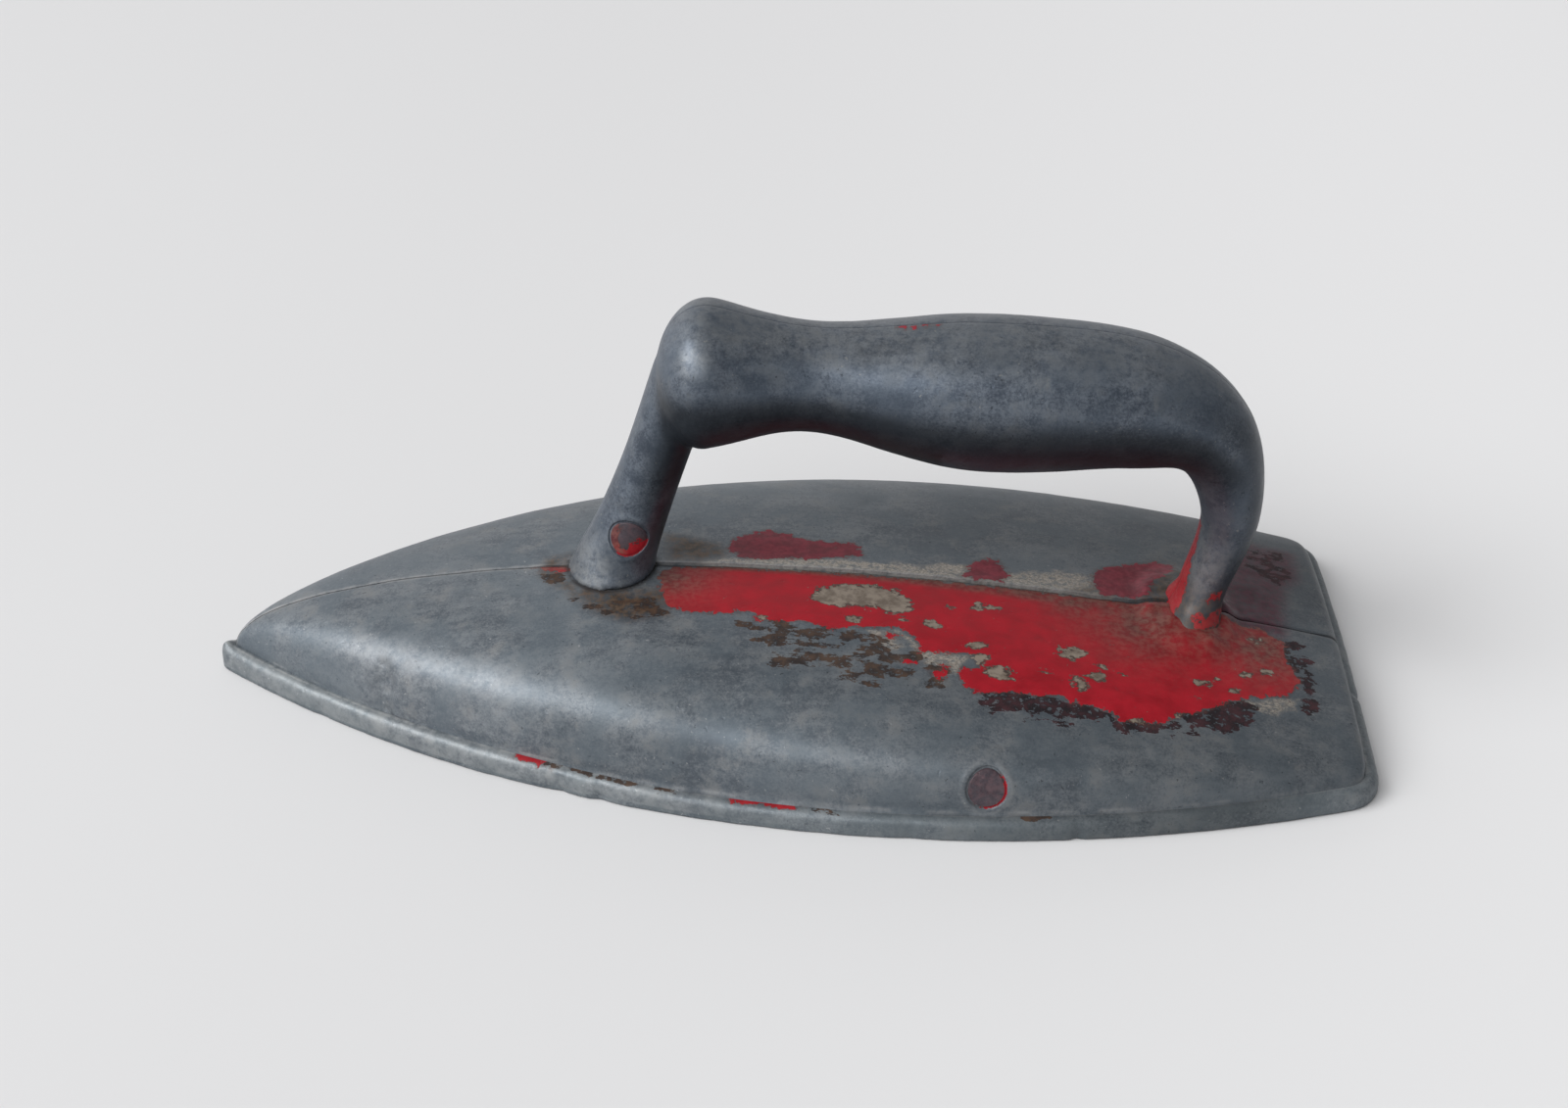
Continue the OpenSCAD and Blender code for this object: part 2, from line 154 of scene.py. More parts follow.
def mark(mesh, **values):  # finish masks carried by the points
    for name, blank in finishMarks.items():
        value = np.broadcast_to(values.get(name, blank), len(mesh.vertices))
        layer = mesh.attributes.new(name, "FLOAT", "POINT")
        layer.data.foreach_set("value", np.clip(value, outside, -outside).astype(np.float32))


def placePiece(mesh, name, nodeName, material, sharpAngle=42):
    setPoints(mesh, meshPoints(mesh) * toMetres)
    mesh.name = name
    mesh.shade_smooth()
    mesh.set_sharp_from_angle(angle=math.radians(sharpAngle))
    mesh.materials.clear()
    mesh.materials.append(material)
    piece = bpy.data.objects.new(name, mesh)
    scene.collection.objects.link(piece)
    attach(piece, "root")
    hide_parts(nodeName)
    print(f"  {name}: {len(mesh.polygons)} faces")


view = {
    "place": (3.8634, -240.929, 158.587),
    "tilt": 59.0,
    "swing": 0.9457,
    "lens": 64.67,
    "sensor": 36,
    "nearClip": 0.01,
}

camera = bpy.data.objects.new("Camera", bpy.data.cameras.new("Camera"))
camera.data.lens = view["lens"]
camera.data.sensor_width = view["sensor"]
camera.data.clip_start = view["nearClip"]
camera.location = [v * toMetres for v in view["place"]]
camera.rotation_euler = (math.radians(view["tilt"]), 0, math.radians(view["swing"]))
scene.collection.objects.link(camera)
scene.camera = camera
scene.view_settings.view_transform = "Standard"

studio = {
    "floorSize": 6.0,
    "floorColour": (0.73, 0.73, 0.735),
    "floorCloud": 0.985,
    "heelFloor": (-0.05, 0.12, 1.11),  # from and to in x, and share of the colour
    "noseFloor": (-0.25, -0.9, 0.82),  # the same near the lamps
    "floorFinish": {"Roughness": 0.9, "Specular IOR Level": 0.1},
    "sides": (-0.6, 0.6, 1.0, 0.42),  # from and to, and the room's brightness at both
    "overhead": (0.4, 0.85, 1.0, 0.55),
    "inFront": (-0.95, -0.3, 0.6, 1.0),
    "skyColour": (1, 1, 1.01, 1),
    "lamps": {  # azimuth from the front towards the heel, height angle, distance, width, height, watts
        "wideWindow": (-44, 42, 2.5, 3.2, 1.2, 36),
        "noseWindow": (-72, 38, 2.4, 1.6, 1.2, 24),
    },
}


def setLamp(name, azimuth, rise, distance, width, height, watts):
    lamp = bpy.data.lights.new(name, "AREA")
    lamp.shape = "RECTANGLE"
    lamp.size, lamp.size_y = width, height
    lamp.energy = watts
    holder = bpy.data.objects.new(name, lamp)
    a, e = math.radians(azimuth), math.radians(rise)
    holder.location = (
        distance * math.cos(e) * math.sin(a),
        -distance * math.cos(e) * math.cos(a),
        distance * math.sin(e),
    )
    holder.rotation_euler = (math.radians(90 - rise), 0, a)
    scene.collection.objects.link(holder)


for lampName, lampValues in studio["lamps"].items():
    setLamp(lampName, *lampValues)


class NodeBench:
    def __init__(self, tree):
        self.tree = tree
        tree.nodes.clear()

    def add(self, kind, values=None, **settings):
        node = self.tree.nodes.new("ShaderNode" + kind)
        for name, value in settings.items():
            setattr(node, name, value)
        for key, value in (values or {}).items():
            self.feed(node.inputs[key], value)
        return node

    def feed(self, socket, value):
        if isinstance(value, bpy.types.NodeSocket):
            self.tree.links.new(value, socket)
        else:
            socket.default_value = value

    def calc(self, operation, a, b=0.0, clamp=False):
        return self.add("Math", {0: a, 1: b}, operation=operation, use_clamp=clamp).outputs[0]

    def times(self, a, b, clamp=False):
        return self.calc("MULTIPLY", a, b, clamp)

    def stack(self, base, *layers):  # base plus a share of each layer
        for layer, share in layers:
            base = self.calc("ADD", base, self.times(layer, share))
        return base

    def most(self, a, b):
        return self.calc("MAXIMUM", a, b)

    def rest(self, value):
        return self.calc("SUBTRACT", 1.0, value)

    def sway(self, base, noise, amount):  # base plus a noise that swings by the amount round zero
        return self.stack(base, (self.calc("SUBTRACT", noise, 0.5), amount))

    def noise(self, coords, scale, detail=4.0, rough=0.55, stretch=None):
        if stretch:
            scaled = self.add("VectorMath", {0: coords, 1: stretch}, operation="MULTIPLY")
            coords = scaled.outputs[0]
        values = {"Vector": coords, "Scale": scale, "Detail": detail, "Roughness": rough}
        return self.add("TexNoise", values).outputs[0]

    def span(self, value, low, high, start=0.0, end=1.0):
        values = {"Value": value, "From Min": low, "From Max": high, "To Min": start, "To Max": end}
        return self.add("MapRange", values, interpolation_type="SMOOTHSTEP").outputs[0]

    def blend(self, factor, a, b):
        return self.add("Mix", {0: factor, 2: a, 3: b}).outputs[0]

    def mix(self, factor, a, b):
        node = self.add("Mix", data_type="RGBA")
        for socket, value in ((0, factor), (6, a), (7, b)):
            self.feed(node.inputs[socket], (*value, 1.0) if isinstance(value, tuple) else value)
        return node.outputs[2]

    def tones(self, value, low, high, pair):
        return self.mix(self.span(value, low, high), *pair)

    def mark(self, name):
        return self.add("Attribute", attribute_name=name).outputs["Fac"]


def tinted(colour, share):
    return tuple(share * c for c in colour)


half = studio["floorSize"] / 2
floorMesh = bpy.data.meshes.new("floor")
corners = [(-half, -half, 0), (half, -half, 0), (half, half, 0), (-half, half, 0)]
floorMesh.from_pydata(corners, [], [(0, 1, 2, 3)])
floor = bpy.data.objects.new("floor", floorMesh)
scene.collection.objects.link(floor)
floorFinish = bpy.data.materials.new("paleTable")
floorFinish.use_nodes = True
bench = NodeBench(floorFinish.node_tree)
onFloor = bench.add("TexCoord").outputs["Object"]
cloud = bench.noise(onFloor, 3.0, 3.0)
shade = bench.mix(cloud, studio["floorColour"], tinted(studio["floorColour"], studio["floorCloud"]))
floorX = bench.add("SeparateXYZ", {0: onFloor}).outputs["X"]
for start, end, share in (studio["heelFloor"], studio["noseFloor"]):
    shade = bench.mix(bench.span(floorX, start, end), shade, tinted(studio["floorColour"], share))
surface = bench.add("BsdfPrincipled", {"Base Color": shade, **studio["floorFinish"]})
bench.add("OutputMaterial", {"Surface": surface.outputs[0]})
floorMesh.materials.append(floorFinish)

world = bpy.data.worlds.new("studio")
scene.world = world
world.use_nodes = True
bench = NodeBench(world.node_tree)
towards = bench.add("SeparateXYZ", {0: bench.add("TexCoord").outputs["Generated"]})
room = bench.span(towards.outputs["X"], *studio["sides"])
room = bench.times(room, bench.span(towards.outputs["Z"], *studio["overhead"]))
room = bench.times(room, bench.span(towards.outputs["Y"], *studio["inFront"]))
sky = bench.add("Background", {"Color": studio["skyColour"], "Strength": room})
bench.add("OutputWorld", {"Surface": sky.outputs[0]})
print("studio set")


layers = {  # darker and lighter colour of each layer of paint and dirt
    "dust": ((0.026, 0.018, 0.012), (0.105, 0.07, 0.048)),
    "smoke": ((0.06, 0.01, 0.024), (0.12, 0.026, 0.05)),
    "brown": ((0.018, 0.012, 0.011), (0.075, 0.042, 0.026)),
    "soot": ((0.01, 0.006, 0.008), (0.05, 0.016, 0.02)),
    "chip": ((0.13, 0.1, 0.074), (0.26, 0.215, 0.17)),
    "red": ((0.27, 0.002, 0.009), (0.37, 0.005, 0.015)),
    "oldRed": ((0.1, 0.008, 0.02), (0.2, 0.018, 0.04)),
    "dullRed": ((0.06, 0.024, 0.02), (0.15, 0.07, 0.055)),
    "redGrain": ((0.1, 0.002, 0.006), (0.36, 0.07, 0.065)),
}
stain = (0.075, 0.042, 0.036)  # round the paint
chipRim = (0.05, 0.032, 0.024)


def wornCasting(name, s):
    material = bpy.data.materials.new(name)
    material.use_nodes = True
    b = NodeBench(material.node_tree)
    where = b.add("TexCoord").outputs["Object"]
    scaled = b.add("VectorMath", {0: where, "Scale": 1 / toMetres}, operation="SCALE")
    where = scaled.outputs[0]  # mm
    cloud = b.noise(where, 0.075, 3.0)
    mottle = b.noise(where, 0.42, 5.0, 0.62)
    grain = b.noise(where, 4.2, 3.0, 0.7)
    ragged = b.noise(where, 0.85, 6.0, 0.66)
    flake = b.noise(where, 1.7, 4.0, 0.6)
    drawn = b.noise(where, 0.75, 6.0, 0.66, (0.55, 1.0, 1.0))
    streak = b.noise(where, 0.5, 4.0, 0.6, (0.12, 1.2, 1.2))
    speck = b.noise(where, 2.3, 2.0, 0.5)

    # bare metal: cloudy patina, handling streaks, grain and specks
    tone = b.stack(b.times(cloud, 0.45), (mottle, 0.4), (streak, 0.3), (flake, 0.3), (grain, 0.5))
    colour = b.tones(tone, 0.8, 1.14, (s["dark"], s["light"]))
    colour = b.mix(b.span(mottle, 0.5, 0.72, 0.0, 0.55), colour, s["hazy"])
    colour = b.mix(b.span(b.noise(where, 0.19, 4.0), 0.4, 0.62, 0.0, 0.6), colour, s["cool"])
    colour = b.mix(b.span(speck, 0.7, 0.77, 0.0, 0.6), colour, s["bright"])
    colour = b.mix(b.span(speck, 0.31, 0.24, 0.0, 0.65), colour, tinted(s["dark"], 0.4))
    rough = b.sway(b.span(mottle, 0.3, 0.7, *s["rough"]), streak, 0.22)
    metal = b.times(b.span(cloud, 0.3, 0.7, 0.85, 1.0), s["metal"])

    # pale worn strips and rubbed edges, with painted highlights and lit sides in the same mark
    worn = b.sway(b.mark("pale"), drawn, 3.4)
    worn = b.times(b.span(worn, -0.7, 0.3), b.span(flake, 0.36, 0.56, 0.3, 1.0))
    colour = b.mix(worn, colour, b.tones(grain, 0.35, 0.65, (tinted(s["worn"], 0.5), s["worn"])))
    edge = b.times(b.mark("edge"), b.span(ragged, 0.3, 0.62, 0.2, 1.0))
    colour = b.mix(edge, colour, s["bright"])

    # brown dust, purple smoke stains, and painted shade on undersides and on sides turned from the
    # lamps
    dust = b.times(b.mark("dust"), b.span(ragged, 0.34, 0.6, 0.5, 1.0))
    colour = b.mix(dust, colour, b.tones(flake, 0.35, 0.65, layers["dust"]))
    smoke = b.times(b.mark("smoke"), b.span(ragged, 0.3, 0.62, 0.65, 1.0))
    colour = b.mix(smoke, colour, b.tones(flake, 0.35, 0.65, layers["smoke"]))
    colour = b.mix(b.mark("dark"), colour, b.mix(0.8, colour, tinted(s["dark"], 0.12)))

    # flecks of brown and soot left where the paint has gone
    brown = b.span(b.sway(b.mark("brown"), drawn, 4.2), -0.04, 0.1)
    brown = b.times(brown, b.span(flake, 0.34, 0.46, 0.2, 0.95))
    colour = b.mix(brown, colour, b.tones(ragged, 0.38, 0.66, layers["brown"]))
    soot = b.span(b.sway(b.mark("soot"), drawn, 4.6), -0.04, 0.1)
    soot = b.times(soot, b.span(flake, 0.36, 0.45, 0.05, 0.98))
    colour = b.mix(soot, colour, b.tones(ragged, 0.4, 0.68, layers["soot"]))

    # red paint with a chipped edge, and the bare places in it
    reach = b.sway(b.sway(b.mark("red"), ragged, 2.2), flake, 0.8)
    bare = b.sway(b.sway(b.mark("chip"), drawn, 3.0), flake, 1.3)
    bare = b.most(bare, b.times(b.calc("SUBTRACT", speck, 0.75), 6.0))
    ground = b.span(reach, -0.03, 0.06)
    hole = b.span(bare, -0.02, 0.05)
    paint = b.times(ground, b.rest(hole))
    colour = b.mix(b.span(reach, -0.5, 0.0, 0.0, 0.5), colour, stain)
    chipTone = b.tones(ragged, 0.36, 0.62, layers["chip"])
    chipTone = b.mix(b.span(b.sway(bare, flake, 0.8), 0.36, 0.08), chipTone, chipRim)
    colour = b.mix(b.times(b.times(ground, hole), 0.92), colour, chipTone)
    red = b.tones(mottle, 0.32, 0.68, layers["red"])
    old = b.tones(ragged, 0.35, 0.65, layers["oldRed"])
    red = b.mix(b.mark("old"), red, old)
    dull = b.times(b.mark("dull"), b.span(ragged, 0.3, 0.62, 0.5, 1.0))
    red = b.mix(dull, red, b.tones(flake, 0.35, 0.62, layers["dullRed"]))
    red = b.mix(b.span(grain, 0.66, 0.86, 0.0, 0.3), red, layers["redGrain"][1])
    red = b.mix(b.span(grain, 0.36, 0.2, 0.0, 0.4), red, layers["redGrain"][0])
    colour = b.mix(paint, colour, red)
    rough = b.blend(paint, rough, b.span(mottle, 0.3, 0.7, 0.5, 0.62))

    # grime in the joints, with painted shade round the rivet recesses in the same mark
    grimeAndShade = b.times(b.mark("grimeAndShade"), b.span(ragged, 0.25, 0.6, 0.45, 1.0), True)
    colour = b.mix(grimeAndShade, colour, s["grimeAndShade"])
    rough = b.blend(b.most(grimeAndShade, b.most(soot, brown)), rough, 0.66)
    cover = b.most(ground, grimeAndShade)
    for part, share in ((soot, 1.0), (brown, 0.9), (dust, 0.8), (smoke, 1.0), (worn, 0.6)):
        cover = b.most(cover, b.times(part, share))
    metal = b.times(metal, b.rest(cover))

    # cast grain, pits and the thickness of the paint
    pits = b.span(b.noise(where, 1.1, 2.0), 0.24, 0.34)
    height = b.stack(b.times(grain, 0.3), (flake, 0.5), (pits, 0.7), (paint, 1.5), (soot, 0.5))
    relief = b.add("Bump", {"Strength": s["relief"], "Distance": 0.00004, "Height": height})
    surface = b.add("BsdfPrincipled", {
        "Base Color": colour, "Roughness": rough, "Metallic": metal, "Normal": relief.outputs[0],
        "Specular IOR Level": 0.28,
    })
    b.add("OutputMaterial", {"Surface": surface.outputs[0]})
    return material


bodyFinish = wornCasting("bodyCasting", {
    "dark": (0.095, 0.112, 0.132),
    "light": (0.215, 0.236, 0.254),
    "hazy": (0.235, 0.238, 0.236),
    "cool": (0.13, 0.158, 0.182),
    "bright": (0.36, 0.365, 0.37),
    "worn": (0.46, 0.415, 0.36),
    "grimeAndShade": (0.022, 0.018, 0.018),
    "rough": (0.4, 0.5),
    "metal": 0.5,
    "relief": 0.6,
})
handleFinish = wornCasting("handleCasting", {
    "dark": (0.05, 0.062, 0.082),
    "light": (0.145, 0.168, 0.2),
    "hazy": (0.13, 0.14, 0.15),
    "cool": (0.07, 0.09, 0.118),
    "bright": (0.235, 0.238, 0.23),
    "worn": (0.27, 0.27, 0.265),
    "grimeAndShade": (0.012, 0.01, 0.012),
    "rough": (0.36, 0.46),
    "metal": 0.55,
    "relief": 0.5,
})
soleFinish = wornCasting("soleCasting", {
    "dark": (0.095, 0.113, 0.13),
    "light": (0.21, 0.233, 0.248),
    "hazy": (0.23, 0.24, 0.24),
    "cool": (0.135, 0.16, 0.175),
    "bright": (0.38, 0.39, 0.39),
    "worn": (0.3, 0.3, 0.28),
    "grimeAndShade": (0.03, 0.026, 0.026),
    "rough": (0.4, 0.52),
    "metal": 0.45,
    "relief": 0.7,
})
rivetFinish = wornCasting("rivetMetal", {
    "dark": (0.055, 0.058, 0.07),
    "light": (0.125, 0.125, 0.14),
    "hazy": (0.125, 0.116, 0.116),
    "cool": (0.07, 0.085, 0.105),
    "bright": (0.2, 0.2, 0.2),
    "worn": (0.24, 0.23, 0.22),
    "grimeAndShade": (0.03, 0.012, 0.012),
    "rough": (0.4, 0.52),
    "metal": 0.4,
    "relief": 0.8,
})
print("finishes mixed")

# plan outline and deck shape, shared by the castings
outline = {
    "length": 115.0,
    "width": 58.0,
    "widestX": 19.0,
    "noseR": 1.5,
    "cornerR": 4.2,
    "bow": 0.5,
    "plateT": 2.2,
    "ledge": 1.3,
    "noseRise": (0.35, -6, -30),  # how much higher the flange is cast along the nose, from and to in x
}
deck = {
    "rise": 10.2,
    "topX": -14.0,
    "heelRise": 2.2,
    "heelEdgeR": 1.0,
    "nosePower": 2.65,
    "topPower": 3.3,
    "heelPower": 2.8,
}

widestX, noseR, cornerR, bow, plateT, ledge = (
    outline[name] for name in ("widestX", "noseR", "cornerR", "bow", "plateT", "ledge")
)
halfLength, halfBeam = outline["length"] / 2, outline["width"] / 2
noseRun = widestX + halfLength - noseR
sideR = noseRun ** 2 + halfBeam ** 2 - noseR ** 2
sideR /= outline["width"] - 2 * noseR
sideY = sideR - halfBeam
noseC = -halfLength + noseR
cornerC = halfLength - bow - cornerR
cornerY = math.sqrt((sideR - cornerR) ** 2 - (cornerC - widestX) ** 2) - sideY


def noseX(inset):
    if inset < noseR:
        return -halfLength + inset
    return widestX - math.sqrt((sideR - inset) ** 2 - sideY ** 2)


def heelX(inset):
    return halfLength - bow - inset


def arc(r, d):
    return np.sqrt(np.maximum(0, r * r - d * d))


def halfWidth(x, inset):  # half of the plan outline, drawn in
    x = np.asarray(x, float)
    width = np.maximum(0, arc(sideR - inset, x - widestX) - sideY)
    noseRound = noseR - inset
    if noseRound > 0:
        touch = noseC - noseRound * noseRun / (sideR - noseR)
        width = np.where(x < touch, arc(noseRound, x - noseC), width)
    heelRound = cornerR - inset
    if heelRound > 0:
        touch = cornerC + heelRound * (cornerC - widestX) / (sideR - cornerR)
        width = np.where(x > touch, cornerY + arc(heelRound, x - cornerC), width)
    return width


def bowed(x, y):  # the heel edge swells in the middle
    start = cornerC - cornerR
    share = np.maximum(0, x - start) / (heelX(0) - start)
    return x + bow * share ** 2 * (1 - (y / (cornerY + cornerR)) ** 2)


bodyNose, bodyHeel = noseX(ledge), heelX(ledge)


def crown(x):  # height of the deck along the seam
    x = np.asarray(x, float)
    front = deck["rise"] * arc(1, (deck["topX"] - x) / (deck["topX"] - bodyNose))
    fall = deck["rise"] - deck["heelRise"]
    rear = deck["rise"] - fall * ((x - deck["topX"]) / (bodyHeel - deck["topX"])) ** 2
    r = deck["heelEdgeR"]
    rear = rear - np.where(x > bodyHeel - r, r - arc(r, x - bodyHeel + r), 0)
    return plateT + np.where(x < deck["topX"], front, rear)


def sectionPower(x):
    ends = (bodyNose, deck["topX"], bodyHeel)
    return np.interp(x, ends, (deck["nosePower"], deck["topPower"], deck["heelPower"]))


def deckHeight(x, y):
    p = sectionPower(x)
    share = np.minimum(1, np.abs(y) / np.maximum(1e-6, halfWidth(x, ledge)))
    return plateT + (crown(x) - plateT) * (1 - share ** p) ** (1 / p)


def jointHeight(x):  # top of the flange, where the body stands on it
    rise, start, end = outline["noseRise"]
    return plateT + rise * step(start, end, x)


# rivet heads lie a little below the skin, in shallow round recesses that follow it
rivets = {
    "headR": 1.76,
    "shankR": 1.1,
    "recessR": 1.95,
    "recessDepth": 0.17,
    "headBelow": 0.03,
    "edgeRound": 0.12,
    "hammer": 0.05,
    "around": 72,
    "body": (19.2, 4.8),  # x and z
    "post": (-15.33, 17.52),
    "lip": 0.04,
}
seats = {"body": {}, "post": {}}  # skins of the castings before the recesses were sunk


def sinkRecess(mesh, which, side, skinFrom):
    x0, z0 = rivets[which]
    r = rivets["recessR"]
    bm = bmesh.new()
    bm.from_mesh(mesh)
    seats[which][side] = BVHTree.FromBMesh(bm)

    def near(v, reach):
        return v.co.y * side > skinFrom and math.hypot(v.co.x - x0, v.co.z - z0) < reach

    edges = {e for f in bm.faces if all(near(v, r + 1.1) for v in f.verts) for e in f.edges}
    bmesh.ops.subdivide_edges(bm, edges=list(edges), cuts=3, use_grid_fill=True)
    for v in bm.verts:
        if near(v, r + 1.4):
            d = math.hypot(v.co.x - x0, v.co.z - z0)
            lip = rivets["lip"] * math.exp(-((d - r - 0.38) / 0.28) ** 2)
            v.co.y += side * (lip - rivets["recessDepth"] * (1 - float(step(r - 0.1, r + 0.1, d))))
    bm.to_mesh(mesh)
    bm.free()
    mesh.update()


body = {
    "stations": 400,
    "around": 100,
    "wall": 2.0,
    "noseSolid": 9.0,
    "heelSolid": 8.0,
    "wallRows": 4,
    "seamGap": 0.03,
    "heelGap": (0.16, 43, 47),  # extra gap, from and to in x
    "farStep": (0.3, -30, -12, 36, 44),  # rise of the far half, and where it starts, is full and ends
    "waves": [(0.1, 15, 3), (0.035, 4.5, 5), (0.014, 1.4, 6)],
    "footFlare": (0.25, 0.7),  # spread and height where the side meets the ledge
    "rearFillet": (40.4, 3.6, 5.9, 0.9),  # run-out round the rear foot: x, half length and width, rise
    "frontFoot": (-17.4, 4.35, 5.2),  # x, half length and half width
    "dents": [  # x, y, radius, depth
        (-39.4, -11.5, 0.8, 0.4), (-38.6, -12.1, 0.5, 0.3), (-37.6, -12.8, 0.6, -0.08),
        (-4.5, -20.5, 1.6, 0.08), (34.0, -23.5, 0.9, 0.1), (9.0, 15.0, 1.4, 0.1),
        (-30.0, 9.0, 1.2, 0.1),
    ],
}


def sectionGrid(xs, inset, roof):
    turn = np.linspace(0, math.pi / 2, 500)
    rows = []
    for x in xs:
        p = sectionPower(x)
        y = float(halfWidth(x, inset)) * np.sin(turn) ** (2 / p)
        rise = float(crown(x)) - roof - plateT
        z = plateT + rise * np.maximum(0, np.cos(turn)) ** (2 / p)
        run = np.concatenate([[0], np.cumsum(np.hypot(np.diff(y), np.diff(z)))])
        even = np.linspace(0, run[-1], body["around"] + 1)
        y, z = np.interp(even, run, y), np.interp(even, run, z)
        rows.append(np.stack([bowed(x, y), y, z], 1))
    return np.array(rows)


def easedRun(first, last, count):
    s = np.linspace(0, 1, count + 1)
    return first + (last - first) * (0.5 * s + 0.25 * (1 - np.cos(math.pi * s)))


def gridNormals(grid):
    n = np.cross(np.gradient(grid, axis=1), np.gradient(grid, axis=0))
    return -n / np.maximum(1e-9, np.linalg.norm(n, axis=2, keepdims=True))


def skinLift(flat, side):  # waves, dents and the uneven seam of one half
    x, y, z = flat.T
    fromSeam = np.abs(y)
    inner = step(0, 5, x - bodyNose) * step(0, 3, bodyHeel - x)
    lift = waves(flat, body["waves"]) * inner * step(0, 1.5, z - plateT)
    for dx, dy, r, depth in body["dents"]:
        lift -= depth * hill(np.hypot(x - dx, y - dy), r) * (1 + 0.5 * lumps(flat, 0.7, 9))
    edgeWave = 0.5 + 0.5 * lumps(flat, 2.2, 11)
    footX, footLength, footWidth, rise = body["rearFillet"]
    fromFoot = np.hypot((x - footX) / footLength, y / footWidth)
    lift += rise * step(1.6, 0.9, fromFoot) * (1 + 0.4 * lumps(flat, 1.2, 12))
    if side > 0:  # the far half stands a little higher between the posts
        rise, start, full, wane, end = body["farStep"]
        between = step(start, full, x) * step(end, wane, x)
        lift += rise * between * np.exp(-fromSeam / 3.0)
        lift -= 0.1 * edgeWave * hill(fromSeam, 0.25)
    else:
        lift += 0.16 * step(44, 48, x) * np.exp(-fromSeam / 2.5) * inner
        lift -= (0.06 + 0.1 * edgeWave) * hill(fromSeam, 0.3)
    return lift


def bodyMesh(side):
    n, m, rows, floorZ = body["stations"], body["around"], body["wallRows"], plateT
    xs = easedRun(bodyNose, bodyHeel, n)
    xs[0] = bodyNose + 0.02
    skin = sectionGrid(xs, ledge, 0)
    normal = gridNormals(skin)
    lift = skinLift(skin.reshape(-1, 3) * (1, side, 1), side)
    skin = skin + normal * lift.reshape(n + 1, m + 1, 1)
    spread, height = body["footFlare"]
    low = np.clip(1 - (skin[:, :, 2] - floorZ) / height, 0, 1)
    skin[:, :, 1] += spread * low ** 2 * step(0, 12, skin[:, :, 0] - bodyNose) * (normal[:, :, 1] > 0.3)
    heelGap, start, end = body["heelGap"]
    gap = body["seamGap"] + heelGap * step(start, end, skin[:, 0, 0])
    skin[:, 0, 1] = 0
    skin[:, :, 1] = np.maximum(skin[:, :, 1], gap[:, None])
    skin[:, m, 2] = floorZ
    heelWall = []
    for k in range(1, rows + 1):
        row = skin[n].copy()
        row[:, 2] = floorZ + (row[:, 2] - floorZ) * (1 - k / rows)
        heelWall.append(row)
    skin = np.concatenate([skin, np.array(heelWall)])
    last = n + rows
    hollowRun = easedRun(bodyNose + body["noseSolid"], bodyHeel - body["heelSolid"], n)
    hollow = sectionGrid(hollowRun, ledge + body["wall"], body["wall"])
    hollow[:, 0, 1] = gap
    feet = [(hollow[k, 0, 0], gap[k], floorZ) for k in (0, n)]
    points = np.concatenate([skin.reshape(-1, 3), hollow.reshape(-1, 3), np.array(feet)])
    base = skin.shape[0] * (m + 1)
    foot = base + (n + 1) * (m + 1)

    def s(i, j):
        return i * (m + 1) + j

    def h(i, j):
        return base + i * (m + 1) + j

    cells = [(i, j) for i in range(last) for j in range(m)]
    faces = [(s(i, j), s(i, j + 1), s(i + 1, j + 1), s(i + 1, j)) for i, j in cells]
    faces += [(h(i, j), h(i + 1, j), h(i + 1, j + 1), h(i, j + 1)) for i, j in cells if i < n]
    faces += [(s(i, 0), s(i + 1, 0), h(i + 1, 0), h(i, 0)) for i in range(n)]
    faces += [(h(i, m), h(i + 1, m), s(i + 1, m), s(i, m)) for i in range(n)]
    faces.append(tuple(s(0, j) for j in range(m + 1)))  # nose end
    faces.append(tuple(h(0, j) for j in range(m + 1)) + (foot,))
    faces.append(tuple(h(n, j) for j in range(m, -1, -1)) + (foot + 1,))
    faces.append((s(0, m), s(0, 0), h(0, 0), foot))
    faces.append((s(0, m), foot, h(0, m)))
    faces.append(tuple(s(i, 0) for i in range(n, last + 1)) + (foot + 1, h(n, 0)))
    faces.append(tuple(s(last, j) for j in range(m + 1)) + (h(n, m), foot + 1))
    mesh = newMesh("bodyHalf", points * (1, side, 1), faces)
    sinkRecess(mesh, "body", side, 24)
    return mesh


